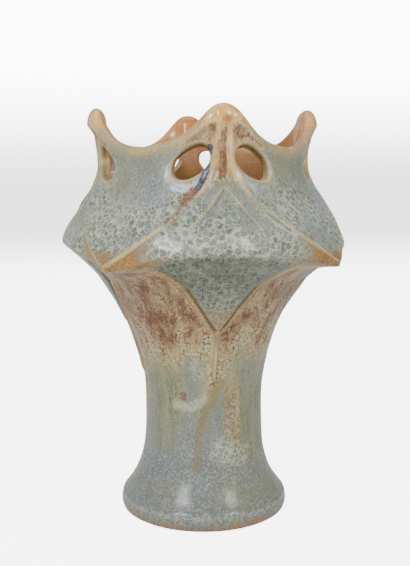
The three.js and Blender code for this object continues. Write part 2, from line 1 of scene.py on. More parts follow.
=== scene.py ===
"""A stoneware vase with a petalled shoulder and a horned, pierced crown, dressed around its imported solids.

Sizes are millimetres and degrees, as in the part's source. A mesh is turned into metres when it is finished.
"""

import logging
import math
from collections.abc import Callable
from dataclasses import dataclass
from enum import Enum, IntEnum
from typing import ClassVar

import bmesh
import bpy
import numpy as np
from mathutils import Euler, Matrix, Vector, noise


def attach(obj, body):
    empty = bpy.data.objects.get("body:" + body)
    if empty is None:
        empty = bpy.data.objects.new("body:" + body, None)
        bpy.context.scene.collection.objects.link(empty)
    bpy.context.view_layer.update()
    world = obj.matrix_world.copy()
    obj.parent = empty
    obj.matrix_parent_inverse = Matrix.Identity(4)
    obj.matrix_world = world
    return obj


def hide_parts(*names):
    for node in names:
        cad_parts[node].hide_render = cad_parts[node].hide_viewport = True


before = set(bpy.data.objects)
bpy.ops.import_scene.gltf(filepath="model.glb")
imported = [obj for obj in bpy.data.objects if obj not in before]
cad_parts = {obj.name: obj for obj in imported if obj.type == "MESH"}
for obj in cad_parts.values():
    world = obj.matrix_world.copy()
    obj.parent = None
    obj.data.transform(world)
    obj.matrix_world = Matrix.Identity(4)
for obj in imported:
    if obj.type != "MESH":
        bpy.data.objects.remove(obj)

Array = np.ndarray
Place = tuple[float, float, float]
Paint = tuple[int, int, int]
Pair = tuple[Array, Array]
Wire = bpy.types.NodeSocket
LOG = logging.getLogger("vase")
MM = 0.001
PLACES = ("front", "right", "back", "left")
HALF = 45.0  # degrees from the middle of a petal to a corner
SOFT = 0.95  # how far a point beside an edge gives way when the edge is rounded
EASED = 0.4  # the same a few rows further off


def mix(a: Array | float, b: Array | float, f: Array | float) -> Array:
    """Returns the value at share f of the way from a to b."""
    return a + (b - a) * f


def clamp(f: Array | float) -> Array:
    """Returns f held between 0 and 1."""
    return np.clip(f, 0.0, 1.0)


def between(value: Array | float, start: Array | float, end: Array | float) -> Array:
    """Returns how far a value is from a start to an end, held between 0 and 1."""
    return clamp((value - start) / (end - start))


def smooth(f: Array | float) -> Array:
    """Returns an S-shaped step from 0 to 1."""
    g = clamp(f)
    return g * g * (3 - 2 * g)


def bell(distance: Array | float, width: float) -> Array:
    """Returns a bump of height 1 that fades over the given width."""
    return np.exp(-((distance / width) ** 2))


def ramp_up(value: Array | float, start: float, length: float) -> Array:
    """Returns an S-shaped step up from 0, which begins at the start and ends after the length."""
    return smooth((value - start) / length)


def ramp_down(value: Array | float, end: float, length: float) -> Array:
    """Returns an S-shaped step down to 0, which takes the length and ends at the end."""
    return smooth((end - value) / length)


def from_petal(angle: Array) -> Array:
    """Returns the angle from the middle of the nearer of two petals."""
    return np.where(angle > HALF, 90 - angle, angle)


def beside_edge(rows: Array) -> Array:
    """Returns how far points give way that lie a number of rows off a rounded edge."""
    return np.where(rows <= 4, SOFT, np.where(rows <= 7, EASED, 0.0))


@dataclass(frozen=True)
class VaseForm:
    """Sizes of the vase and the surfaces that its members share."""

    foot_radius: float = 63.1
    base_inset: float = 2.5
    band_inset: float = 1.2
    foot_bulge_height: float = 7.0
    foot_band_height: float = 13.5
    foot_flare: float = 2.9
    floor_thickness: float = 10.0
    foot_join_height: float = 30.0
    waist_radius: float = 43.8
    waist_height: float = 76.0
    stem_join_height: float = 97.0
    stem_wall: float = 7.5
    collar_radius: float = 74.8
    collar_height: float = 178.3
    collar_flare: float = 2.25
    flare_height: float = 178.0  # where the flare of the collar ends
    collar_wall: float = 8.0
    keel_radius: float = 105.2
    keel_height: float = 204.5
    keel_droop: float = 6.5
    corner_radius: float = 113.6
    corner_height: float = 190.6
    corner_lip: float = 4.0
    corner_rise: float = 2.0  # how much higher the inside of a corner ends
    bracket_angle: float = 30.0
    undercut_radius: float = 91.0
    undercut_draw: float = 5.0
    undercut_height: float = 191.5
    undercut_gain: float = 1.0  # how much further out the inside is pulled
    undercut_lift: float = 1.5  # how much higher, behind a pendant
    undercut_corner_lift: float = 4.5  # how much higher, behind a corner
    petal_crown: float = 1.4
    rib_foot_height: float = 250.0
    rib_foot_half_width: float = 9.6
    rib_half_width: float = 5.0
    rib_taper: float = 10.0
    ridge_proud: float = 1.6
    ridge_sweep: float = 1.2
    ridge_top: float = 292.0  # where a ridge runs into its horn
    groove_depth: float = 1.2
    neck_radius: float = 75.2
    neck_height: float = 262.0
    neck_steepness: float = 0.75
    horn_radius: float = 85.8
    horn_height: float = 300.0
    horn_shoulder: float = 15.0
    horn_roundness: float = 2.4
    horn_lean: float = 2.2
    horn_tip_drop: float = 6.0
    horn_thickness: float = 15.5
    horn_spread: float = 10.0
    horn_crown: float = 0.9
    horn_head: float = 0.5
    head_length: float = 28.0  # of the round head of a horn, down from its tip
    head_blend: float = 13.0
    saddle_radius: float = 73.2
    saddle_height: float = 272.0
    web_hollow: float = 1.5
    crown_wall: float = 8.0
    hole_angle: float = 15.9
    hole_half_width: float = 12.0
    hole_half_height: float = 12.4
    hole_slant: float = 0.5
    hole_point: float = 0.2
    hole_lip: float = 2.2
    hole_lintel: float = 4.0  # how much lower the top of a hole is at the inside
    pendant_tip_height: float = 145.0
    pendant_proud: float = 3.2
    pendant_edge_proud: float = 2.4
    pendant_side_angle: float = 18.2
    pendant_taper: float = 1.25
    pendant_pull: float = 0.42  # how far down the bend of a pendant's shoulder is
    pendant_tip_half_width: float = 0.9
    border_width: float = 4.6
    border_proud: float = 1.5
    border_spread: float = 1.6  # how much wider a border is at the collar's edge
    border_tip_width: float = 3.4
    vein_end_height: float = 104.0
    vein_half_width: float = 1.7
    vein_proud: float = 1.8
    vein_run_out: float = 8.0  # how far its lower end takes to rise

    def thrown_radius(self, z: Array) -> Array:
        """Shapes the outside of foot, stem and collar.

        Args:
            z: height.

        Returns:
            Outer radius.
        """
        base = self.foot_radius - self.base_inset
        band = self.foot_radius - self.band_inset
        bulge = 1 - clamp(z / self.foot_bulge_height)
        low = mix(self.foot_radius, base, bulge**2)
        f = between(z, self.foot_bulge_height, self.foot_band_height)
        middle = mix(self.foot_radius, band, f**2)
        f = between(z, self.waist_height, self.foot_band_height)
        stem = mix(self.waist_radius, band, f**self.foot_flare)
        f = between(z, self.waist_height, self.flare_height)
        collar = mix(self.waist_radius, self.collar_radius, f**self.collar_flare)
        above = np.where(z <= self.waist_height, stem, collar)
        above = np.where(z <= self.foot_band_height, middle, above)
        return np.where(z <= self.foot_bulge_height, low, above)

    def thrown_wall(self, z: Array) -> Array:
        """Returns the wall of the thrown members at a height."""
        return mix(self.stem_wall, self.collar_wall, between(z, self.stem_join_height, self.collar_height))

    def rim_height(self, t: Array) -> Array:
        """Shapes the rim from the saddles up to the horns.

        Args:
            t: angle from a petal's middle.

        Returns:
            Height of the rim.
        """
        def swell(a: Array) -> Array:
            """Returns the swell of the rim at an angle."""
            return 1 / (1 + (np.abs(a) / self.horn_shoulder) ** self.horn_roundness)

        f = (swell(t) - swell(HALF)) / (1 - swell(HALF))
        return mix(self.saddle_height, self.horn_height, f)

    def rib_radius(self, z: Array) -> Array:
        """Shapes the middle of a petal from the keel up to the horn.

        Args:
            z: height.

        Returns:
            Outer radius.
        """
        f = between(z, self.neck_height, self.horn_height - self.horn_tip_drop)
        above = mix(self.neck_radius, self.horn_radius, f**self.horn_lean)
        f = between(z, self.neck_height, self.keel_height)
        eased = f * f * (3 - 2 * f) + self.neck_steepness * (f**3 - f**2)
        return np.where(z >= self.neck_height, above, mix(self.neck_radius, self.keel_radius, eased))

    def web_radius(self, z: Array) -> Array:
        """Returns the outer radius down the middle of a web."""
        f = between(z, self.neck_height, self.ridge_end)
        return mix(self.saddle_radius, self.corner_radius, f**self.web_hollow)

    @property
    def rib_foot_angle(self) -> float:
        """Returns the angle of a ridge at the foot of its rib."""
        radius = float(self.rib_radius(np.array(self.rib_foot_height)))
        return math.degrees(self.rib_foot_half_width / radius)

    @property
    def ridge_end(self) -> float:
        """Returns the height where the ridges end at a corner."""
        return self.corner_height + self.corner_lip

    def ridge_angle(self, z: Array) -> Array:
        """Leads a ridge down beside its rib and out to its corner.

        Args:
            z: height.

        Returns:
            Angle of the ridge.
        """
        fade = np.exp(-np.maximum(z - self.rib_foot_height, 0) / self.rib_taper)
        half = mix(self.rib_half_width, self.rib_foot_half_width, fade)
        above = np.degrees(half / self.rib_radius(z))
        f = between(z, self.rib_foot_height, self.ridge_end)
        below = mix(self.rib_foot_angle, HALF, f**self.ridge_sweep)
        return np.where(z >= self.rib_foot_height, above, below)

    def ridge_height(self, t: Array) -> Array:
        """Returns the height of a ridge at an angle, below the foot of its rib."""
        f = between(t, self.rib_foot_angle, HALF) ** (1 / self.ridge_sweep)
        return mix(self.rib_foot_height, self.ridge_end, f)

    def ridge_radius(self, z: Array) -> Array:
        """Shapes a ridge.

        Args:
            z: height.

        Returns:
            Outer radius.
        """
        f = between(self.ridge_angle(z), self.bracket_angle, HALF)
        proud = self.rib_radius(np.maximum(z, self.keel_height)) + self.ridge_proud
        return mix(proud, self.corner_radius, f * f)

    def crown_radius(self, t: Array, z: Array) -> Array:
        """Shapes ribs, horns, saddles and webs.

        Args:
            t: angle from a petal's middle.
            z: height.

        Returns:
            Outer radius.
        """
        edge = self.ridge_angle(z)
        bowl = mix(self.groove_depth, -self.horn_crown, self.horn_share(z))
        groove = self.rib_radius(z) + self.ridge_proud - bowl * (1 - clamp(t / edge) ** 2)
        f = smooth((t - edge) / np.maximum(0.5, HALF - edge))
        return np.where(t < edge - 1e-4, groove, mix(self.ridge_radius(z), self.web_radius(z), f))

    def horn_share(self, z: Array) -> Array:
        """Returns how far up the round head of a horn a height is."""
        return smooth((z - self.horn_height + self.head_length) / self.head_blend)

    def crown_thickness(self, t: Array, z: Array) -> Array:
        """Swells the wall of the crown to a round horn.

        Args:
            t: angle from a petal's middle.
            z: height.

        Returns:
            Thickness along the radius.
        """
        start = self.neck_height + self.hole_half_height / 2
        rise = smooth((z - start) / (self.horn_height - self.horn_tip_drop - self.neck_height))
        return mix(self.crown_wall, self.horn_thickness, rise * bell(t, self.horn_spread))

    def cap_rise(self, t: Array) -> Array:
        """Returns the height of the rounded rim, which is taller on a horn."""
        half = self.crown_thickness(t, self.rim_height(t)) / 2
        return half * (1 + self.horn_head * bell(t, self.horn_spread))

    def top_rung(self, t: Array) -> Array:
        """Returns the height where the rounded rim begins."""
        return self.rim_height(t) - self.cap_rise(t)

    def keel(self, t: Array) -> Pair:
        """Shapes the keel.

        Args:
            t: angle from a petal's middle.

        Returns:
            Radius and height.
        """
        a = clamp(t / self.bracket_angle) ** 2
        b = between(t, self.bracket_angle, HALF)
        radius = self.keel_radius - self.petal_crown * a
        height = self.keel_height - self.keel_droop * a
        return mix(radius, self.corner_radius, b * b), mix(height, self.corner_height, b)

    def keel_inside(self, t: Array) -> Pair:
        """Shapes the inside behind the keel.

        Args:
            t: angle from a petal's middle.

        Returns:
            Radius and height.
        """
        radius, height = self.keel(t)
        f = smooth(t / HALF)
        lift = (self.corner_lip + self.corner_rise) * f
        return radius - self.crown_wall - self.corner_lip * f, height + lift

    def petal_radius(self, t: Array, z: Array) -> Array:
        """Returns the outer radius of a petal between its ridges and its keel."""
        return self._petal(t, z, *self.keel(t), 0.0, self.petal_crown)

    def petal_inside(self, t: Array, z: Array) -> Array:
        """Returns the inner radius of a petal."""
        return self._petal(t, z, *self.keel_inside(t), self.crown_wall, 0.0)

    def _petal(self, t: Array, z: Array, low_r: Array, low_z: Array, wall: float, crown: float) -> Array:
        """Shapes a petal between its ridges and its lower edge.

        Args:
            t: angle from a petal's middle.
            z: height.
            low_r: radius of the lower edge.
            low_z: its height.
            wall: how far inside the ridges it starts.
            crown: how far it swells.

        Returns:
            Radius.
        """
        flat = t < self.rib_foot_angle
        foot = np.full_like(z, self.rib_foot_height)
        top_z = np.where(flat, foot, self.ridge_height(t))
        ridge_r = self.ridge_radius(self.ridge_height(t))
        top_r = np.where(flat, self.crown_radius(t, foot), ridge_r) - wall
        f = clamp((z - low_z) / np.maximum(top_z - low_z, 0.1))
        height = mix(self.keel_height, self.rib_foot_height, f)
        whole = self.keel_radius - self.rib_radius(foot)
        bowed = (self.keel_radius - self.rib_radius(height)) / whole
        share = mix(bowed, f, smooth(t / self.bracket_angle))
        swell = crown * np.sin(math.pi * (1 - f) ** 1.5) * (1 - t / HALF)
        return mix(low_r, top_r, share) + swell

    @staticmethod
    def _bend(start: Pair, pull: Pair, end: Pair, w: Array) -> Pair:
        """Returns radius and height on a bent line from a start to an end."""
        return tuple((1 - w) ** 2 * a + 2 * w * (1 - w) * b + w * w * c for a, b, c in zip(start, pull, end))

    def under_outside(self, t: Array, w: Array) -> Pair:
        """Shapes the outside below the keel.

        Args:
            t: angle from a petal's middle.
            w: share of the way from the keel to the collar.

        Returns:
            Radius and height.
        """
        f = 1 - between(t, self.bracket_angle, HALF)
        pull_r = self.undercut_radius - self.undercut_draw * f
        pull_z = self.undercut_height - self.corner_lip / 2 * f
        return self._bend(self.keel(t), (pull_r, pull_z), (self.collar_radius, self.collar_height), w)

    def under_inside(self, t: Array, w: Array) -> Pair:
        """Shapes the inside behind the pendants and brackets.

        Args:
            t: angle from a petal's middle.
            w: share of the way from the keel to the collar.

        Returns:
            Radius and height.
        """
        pull_r = self.undercut_radius - self.crown_wall + self.undercut_gain
        pull_z = self.undercut_height + mix(self.undercut_lift, self.undercut_corner_lift, t / HALF)
        end = (self.collar_radius - self.collar_wall, self.collar_height)
        return self._bend(self.keel_inside(t), (pull_r, pull_z), end, w)

    def pendant_spine(self, w: Array) -> Pair:
        """Shapes the middle of a pendant's shoulder.

        Args:
            w: share of the way from the keel to the collar.

        Returns:
            Radius and height.
        """
        end_r = self.collar_radius + self.pendant_proud
        pull_z = mix(self.keel_height, self.collar_height, self.pendant_pull)
        pull = (mix(self.keel_radius, end_r, 0.5), pull_z)
        return self._bend((self.keel_radius, self.keel_height), pull, (end_r, self.collar_height), w)

    def pendant_side(self, w: Array) -> Array:
        """Returns half the angle of a pendant between the keel and the collar."""
        return mix(self.bracket_angle, self.pendant_side_angle, w**self.pendant_taper)

    def pendant_angle(self, z: Array) -> Array:
        """Narrows a pendant down the collar.

        Args:
            z: height.

        Returns:
            Half its angle.
        """
        f = between(z, self.pendant_tip_height, self.collar_height)
        radius = float(self.thrown_radius(np.array(self.pendant_tip_height)))
        tip = math.degrees(self.pendant_tip_half_width / radius)
        return mix(tip, self.pendant_side_angle, f ** (1 / self.pendant_taper))

    def border(self, distance: Array, width: Array) -> Array:
        """Returns the height of a raised border from the distance to its middle."""
        return np.where(np.abs(distance) < width / 2, np.cos(math.pi * distance / width) ** 2, 0.0)

    def vein_relief(self, t: Array, z: Array) -> Array:
        """Raises the borders and the vein on the collar.

        Args:
            t: angle from a petal's middle.
            z: height.

        Returns:
            How proud they stand.
        """
        f = between(z, self.pendant_tip_height, self.collar_height)
        width = mix(self.border_tip_width, self.border_width + self.border_spread, f)
        across = np.radians(t - self.pendant_angle(z)) * self.thrown_radius(z) - width / 2
        tip = smooth((z - self.pendant_tip_height + 3) / 4)
        arm = self.border_proud * self.border(across, width) * tip
        f = between(z, self.vein_end_height, self.pendant_tip_height)
        width = 2 * self.vein_half_width * mix(0.9, 1.5, f)
        across = np.radians(t) * self.thrown_radius(z)
        end = ramp_up(z, self.vein_end_height, self.vein_run_out)
        end = end * (1 - ramp_up(z, self.pendant_tip_height, 3))
        return np.maximum(arm, self.vein_proud * self.border(across, width) * end)


class Member(IntEnum):
    """Members of the vase, in the order in which they are luted together."""

    FOOT = 0
    STEM = 1
    COLLAR = 2
    PETAL = 3
    PENDANT = 4
    BRACKET = 5
    WEB = 6
    STRAP = 7


class Slot(Enum):
    """Finishes of the solids that the pieces stand for."""

    STEM = "stem_glaze"
    COLLAR = "collar_glaze"
    PETAL = "petal_glaze"
    HORN = "horn_glaze"


class Mask(Enum):
    """Masks laid on the clay, which the glaze reads."""

    OCHRE = "ochre"  # edges and borders where the glaze is thin
    HORN = "horn"  # light clay of the horns
    RUST = "rust"  # red-brown hollows
    CELLS = "cells"  # crawled glaze of the petals
    INSIDE = "inside"  # lining
    LINE = "line"  # dark line beside an edge, and painted shadow beside folds and under hole tops
    PALE = "pale"  # thick light glaze, and painted highlight along the keel and the foot band
    OLIVE = "olive"  # green glaze
    DEEP = "deep"  # painted shade in hollows, holes, undersides and corner tips, round the foot band and down one side of the stem
    CREST = "crest"  # bare light crests, and painted highlight along ridges and folds


@dataclass
class Stations:
    """Places of one patch of skin, outside and inside, with its glaze masks."""

    angle: Array
    radius: Array
    height: Array
    inner_radius: Array
    inner_height: Array
    soft: Array
    masks: dict[Mask, Array]


@dataclass
class Patch:
    """A grid of skin: its counts, where its points go, and which member each face belongs to."""

    columns: int
    rows: int
    place: Callable[[Array, Array], Stations]
    member: Callable[[int, int], tuple[Member, int] | None]
    downwards: bool = True


def new_object(name: str, bm: bmesh.types.BMesh) -> bpy.types.Object:
    """Makes a smooth-shaded object of a finished mesh, in the scene.

    Args:
        name: name of the object.
        bm: the mesh, which is freed.

    Returns:
        The object.
    """
    mesh = bpy.data.meshes.new(name)
    bm.to_mesh(mesh)
    bm.free()
    for polygon in mesh.polygons:
        polygon.use_smooth = True
    thing = bpy.data.objects.new(name, mesh)
    bpy.context.scene.collection.objects.link(thing)
    return thing


def drift_at(place: Vector) -> Vector:
    """Returns a smooth uneven shift at a place, the same one on every run."""
    second, third = place + Vector((31.4, 5.2, 9.7)), place + Vector((7.3, 41.1, 17.9))
    return Vector((noise.noise(place), noise.noise(second), noise.noise(third)))


@dataclass(frozen=True)
class Shade:
    """One wide soft patch in a mask, along a line of points."""

    mask: Mask
    points: tuple[Place, ...]
    radius: float
    strength: float
    outer: ClassVar[float] = 1.5  # where a patch ends, in radii

    def reach(self) -> tuple[float, float]:
        """Returns the lowest and highest place that the patch touches, in millimetres."""
        heights = [point[2] for point in self.points]
        return min(heights) - self.radius * self.outer, max(heights) + self.radius * self.outer

    def share(self, place: Vector) -> float:
        """Works out the patch's share at a place.

        Args:
            place: the place, in millimetres.

        Returns:
            Its share there.
        """
        nearest = math.inf
        for start, end in zip(self.points, self.points[1:]):
            a, b = Vector(start), Vector(end)
            along = min(1.0, max(0.0, (place - a).dot(b - a) / (b - a).length_squared))
            nearest = min(nearest, (place - a.lerp(b, along)).length)
        return self.strength * float(smooth(self.outer - nearest / self.radius))


SHADES = (
    Shade(Mask.OLIVE, ((-33.6, -38.9, 129.7), (-34.7, -28.1, 97.8), (-36.7, -24.8, 62)), 14, 0.95),
    Shade(Mask.OLIVE, ((24.2, -46.6, 132.9), (24.9, -37.4, 97.6), (24.5, -37.2, 58)), 14, 1.2),
    Shade(Mask.OLIVE, ((-8, -46, 126), (-6, -44, 78)), 24, 0.5),
    Shade(Mask.OLIVE, ((45, -8, 128), (40, -18, 96), (41, -16, 60)), 13, 1.1),
    Shade(Mask.OLIVE, ((-66, -38, 266), (-68, -44, 250)), 11, 0.9),
    Shade(Mask.RUST, ((-45.5, -7, 130), (-43.5, -6, 100), (-43.5, -6, 74)), 5, 0.35),
    Shade(Mask.OCHRE, ((-2.5, -48, 142), (-2, -46, 116)), 7, 0.4),
    Shade(Mask.RUST, ((-3, -47, 130), (-1, -45.5, 102)), 13, 0.3),
    # Painted shade down the right side of the stem.
    Shade(Mask.DEEP, ((45, -10, 120), (40, -18, 90), (43, -14, 56)), 11, 0.35),
    # Painted highlight along the left and right ridges of the front petal.
    Shade(Mask.CREST, ((-78, -81.2, 196), (-62.8, -87, 206), (-41.9, -88.8, 220)), 1.5, 1),
    Shade(Mask.CREST, ((62.8, -87, 206), (41.9, -88.8, 220), (28.6, -86.7, 230)), 1.3, 0.7),
    Shade(Mask.RUST, ((4, -46, 112), (9, -43.1, 96), (13.9, -41.1, 69.3)), 13, 0.2),
    Shade(Mask.PALE, ((6, -43.8, 55), (20, -40, 52)), 8.5, 0.7),
    Shade(Mask.PALE, ((-12, -43, 118), (-2, -44, 104)), 7, 0.4),
)


@dataclass(frozen=True)
class Mark:
    """One run, drop, bare patch or painted highlight in the glaze, as a line of points with a colour."""

    points: tuple[Place, ...]
    radius: float
    color: Paint
    strength: float = 1.0
    raised: float = 0.0
    tear: float = 0.9


MARKS = (
    Mark(
        ((-36.9, -66.5, 257.6), (-35.7, -69, 250.1), (-29.6, -75.6, 245.7)),
        2, (196, 202, 198), 0.75, tear=0.8,
    ),
    Mark(
        ((-31.6, -74.6, 245.7), (-22.2, -79.3, 244.5), (-16.8, -79.3, 247.2)),
        3.3, (214, 222, 228), 0.85, 0.6, 0.7,
    ),
    Mark(
        ((-8.6, -76.5, 271.5), (-11.3, -77.2, 256), (-14.3, -79.1, 249.6),
         (-17.1, -80.6, 245.1), (-20, -80.9, 241.5)),
        2, (56, 62, 86), 1.1, tear=0.1,
    ),
    Mark(
        ((-34.5, -71, 248.6), (-29, -76.4, 244.4), (-21, -79.8, 243.4)),
        0.8, (150, 160, 164), 0.8, tear=0.5,
    ),
    # Painted highlight on the blue line.
    Mark(((-11, -77.3, 258), (-13, -78.2, 252)), 0.7, (158, 168, 194), 0.7, tear=0.3),
    Mark(((-20.4, -80.5, 243.2), (-26.8, -83.5, 235.6)), 3.4, (128, 86, 64), 0.9, 1.8, 0.5),
    Mark(
        ((-26.8, -83.5, 235.6), (-32.5, -87.2, 228.8), (-38.7, -87.9, 224)),
        2.3, (130, 100, 78), 0.75, tear=0.8,
    ),
    Mark(((-21.6, -39, 96), (-21.6, -39, 93.6)), 2.4, (116, 84, 56), 0.8, tear=0.4),
    Mark(
        ((-26.2, -35.6, 89), (-16.8, -40.8, 86.5), (-7.1, -44, 93.4)),
        3.2, (204, 206, 180), 0.6, tear=1.2,
    ),
    Mark(
        ((4.2, -45.6, 105), (-6.3, -43.6, 84.4), (-11.3, -42.5, 63.5), (-12.5, -45.3, 42.2)),
        3, (136, 118, 76), 0.6, tear=1,
    ),
)


class Skin:
    """The outer and inner skin of the whole vase as one welded mesh."""

    weld: ClassVar[float] = 2e-6  # points nearer than this, in metres, become one
    roundings: ClassVar[tuple[tuple[float, int], ...]] = ((0.3, 2), (0.6, 2), (0.9, 3))  # softness, passes
    hole_shade: ClassVar[float] = 0.8  # how much of the lining's colour gives way to painted shade deep in a hole
    swells: ClassVar[tuple[float, float]] = (22.0, 0.0009)  # wide unevenness: how close, how many metres high
    dimples: ClassVar[tuple[float, float]] = (75.0, 0.00022)  # fine unevenness
    true_height: ClassVar[float] = 0.03  # below this height, in metres, the clay gets truer

    def __init__(self, form: VaseForm) -> None:
        """Starts an empty skin with its layers.

        Args:
            form: sizes and surfaces of the vase.
        """
        self.form = form
        self.bm = bmesh.new()
        verts = self.bm.verts.layers
        self.inner = verts.float_vector.new("inner")
        self.soft = verts.float.new("soft")
        self.masks = {mask: verts.float.new(mask.value) for mask in Mask}
        self.member = self.bm.faces.layers.int.new("member")
        self.lining = self.bm.faces.layers.int.new("lining")
        self.twins: dict[int, int] = {}

    @staticmethod
    def _points(angle: Array, radius: Array, height: Array) -> Array:
        """Returns points in metres from angles counted from -Y, radii and heights."""
        a = np.radians(angle - 90)
        return np.stack([radius * np.cos(a), radius * np.sin(a), height], axis=-1) * MM

    def add(self, patch: Patch) -> None:
        """Adds a patch to the outer skin, once for each quarter.

        Args:
            patch: the grid and its mapping.
        """
        index = np.arange((patch.columns + 1) * (patch.rows + 1))
        col, row = index % (patch.columns + 1), index // (patch.columns + 1)
        found = patch.place(col.astype(float), row.astype(float))
        for quarter in range(len(PLACES)):
            turn = 90.0 * quarter
            outer = self._points(found.angle + turn, found.radius, found.height)
            inner = self._points(found.angle + turn, found.inner_radius, found.inner_height)
            made = bmesh.ops.create_grid(self.bm, x_segments=patch.columns, y_segments=patch.rows, size=1.0)
            verts = made["verts"]
            verts.sort(key=lambda v: (round(v.co.y, 5), round(v.co.x, 5)))
            faces = list(dict.fromkeys(f for v in verts for f in v.link_faces))
            lookup = {v: i for i, v in enumerate(verts)}
            doomed = []
            for face in faces:
                first = min(lookup[v] for v in face.verts)
                owner = patch.member(first % (patch.columns + 1), first // (patch.columns + 1))
                if owner is None:
                    doomed.append(face)
                else:
                    stands = 0 if owner[0] < Member.PETAL else (quarter + owner[1]) % len(PLACES)
                    face[self.member] = owner[0] * len(PLACES) + stands
            for i, v in enumerate(verts):
                v.co = outer[i]
                v[self.inner] = inner[i]
                v[self.soft] = found.soft[i]
                for mask, layer in self.masks.items():
                    v[layer] = found.masks[mask][i] if mask in found.masks else 0.0
            if patch.downwards:
                bmesh.ops.reverse_faces(self.bm, faces=faces)
            bmesh.ops.delete(self.bm, geom=doomed, context="FACES")

    def close(self) -> None:
        """Adds the inner skin, welds the patches and rounds their edges."""
        bm = self.bm
        outer = list(bm.verts)
        made = bmesh.ops.duplicate(bm, geom=outer + list(bm.edges) + list(bm.faces))
        lining = [e for e in made["geom"] if isinstance(e, bmesh.types.BMFace)]
        pairs = [(v, made["vert_map"][v]) for v in outer]
        for _, twin in pairs:
            twin.co = twin[self.inner]
            # Deep in a hole, the lining gives way to the outer glaze under its painted shade.
            in_hole = twin.co.z > (self.form.neck_height - self.form.hole_half_height) * MM
            lost = self.hole_shade * twin[self.masks[Mask.DEEP]] if in_hole else 0.0
            twin[self.masks[Mask.INSIDE]] = 1.0 - lost
        for face in lining:
            face[self.lining] = 1
        bmesh.ops.reverse_faces(bm, faces=lining)
        doubles = bmesh.ops.find_doubles(bm, verts=bm.verts, dist=self.weld)["targetmap"]
        pairs = [(doubles.get(v, v), doubles.get(twin, twin)) for v, twin in pairs]
        bmesh.ops.weld_verts(bm, targetmap=doubles)
        bm.verts.index_update()
        self.twins = {v.index: twin.index for v, twin in pairs}
        for least, passes in self.roundings:
            soft = [v for v in bm.verts if v[self.soft] >= least]
            for _ in range(passes):
                bmesh.ops.smooth_vert(
                    bm, verts=soft, factor=0.5, use_axis_x=True, use_axis_y=True, use_axis_z=True
                )
        self.shade()
        self.wobble()
        bm.normal_update()

    def shade(self) -> None:
        """Lays the wide soft patches over the masks of the front."""
        front = [v for v in self.bm.verts if v.co.y < 0 and v[self.masks[Mask.INSIDE]] < 0.5]
        for shade in SHADES:
            layer = self.masks[shade.mask]
            low, high = shade.reach()
            for v in front:
                if low < v.co.z / MM < high:
                    v[layer] = max(v[layer], shade.share(v.co / MM))

    def wobble(self) -> None:
        """Gives the skin the slight unevenness of hand-built clay."""
        (wide, high), (fine, low) = self.swells, self.dimples
        for v in self.bm.verts:
            lift = float(smooth(v.co.z / self.true_height))
            v.co += (drift_at(v.co * wide) * high + drift_at(v.co * fine) * low) * lift

    def piece(self, name: str, member: Member, quarter: int) -> bpy.types.Object:
        """Cuts one member out of the skin and closes it along its joints.

        Args:
            name: name of the new object.
            member: which member to take.
            quarter: which quarter of the vase it stands in.

        Returns:
            The closed member as an object.
        """
        wanted = member * len(PLACES) + quarter
        bm = bmesh.new()
        masks = {mask: bm.verts.layers.float.new(mask.value) for mask in Mask}
        made: dict[int, bmesh.types.BMVert] = {}
        origin: dict[bmesh.types.BMVert, bmesh.types.BMVert] = {}
        lining: set[bmesh.types.BMFace] = set()
        joint: set[bmesh.types.BMFace] = set()
        for face in self.bm.faces:
            if face[self.member] != wanted:
                continue
            for v in face.verts:
                if v.index not in made:
                    new = bm.verts.new(v.co)
                    for mask, layer in masks.items():
                        new[layer] = v[self.masks[mask]]
                    made[v.index], origin[new] = new, v
            copy = bm.faces.new([made[v.index] for v in face.verts])
            if face[self.lining]:
                lining.add(copy)
        for edge in [e for e in bm.edges if e.is_boundary and e.link_faces[0] not in lining]:
            loop = edge.link_loops[0]
            a, b = loop.vert, loop.link_loop_next.vert
            ring = [b, a, made[self.twins[origin[a].index]], made[self.twins[origin[b].index]]]
            joint.add(bm.faces.new([v for i, v in enumerate(ring) if v not in ring[:i]]))
        bm.normal_update()
        normals = [
            tuple(face.normal) if face in joint else tuple(origin[loop.vert].normal)
            for face in bm.faces
            for loop in face.loops
        ]
        open_edges = sum(1 for e in bm.edges if not e.is_manifold)
        if open_edges:
            LOG.warning("%s has %d open edges", name, open_edges)
        thing = new_object(name, bm)
        thing.data.normals_split_custom_set(normals)
        return thing


@dataclass(frozen=True)
class Grid:
    """Counts of the grids that meet along ridges, keel and collar."""

    pendant: int = 64  # columns across a pendant
    bracket: int = 40  # columns across a bracket
    web: int = 88  # columns across a web
    cap: int = 5  # rows over half of the rounded rim
    rib: int = 32  # rows down a rib
    ridge: int = 48  # rows along a ridge below its rib
    lip: int = 4  # rows down the point of a corner
    under: int = 24  # rows between keel and collar
    leaf: int = 26  # rows down a pendant on the collar

    @property
    def petal(self) -> int:
        """Returns the columns across a petal."""
        return self.pendant + self.bracket


@dataclass(frozen=True)
class MemberKind:
    """How one kind of member is named, and which glaze it carries."""

    member: Member
    pattern: str
    slot: Slot
    also: str = ""

    def pieces(self) -> list[tuple[str, int, list[str]]]:
        """Lists the pieces of this kind.

        Returns:
            The name, the quarter and the solids of each piece.
        """
        if "%s" in self.pattern:
            return [(self.pattern % place, i, [self.pattern % place]) for i, place in enumerate(PLACES)]
        return [(self.pattern, 0, [self.pattern] + [self.also % place for place in PLACES if self.also])]


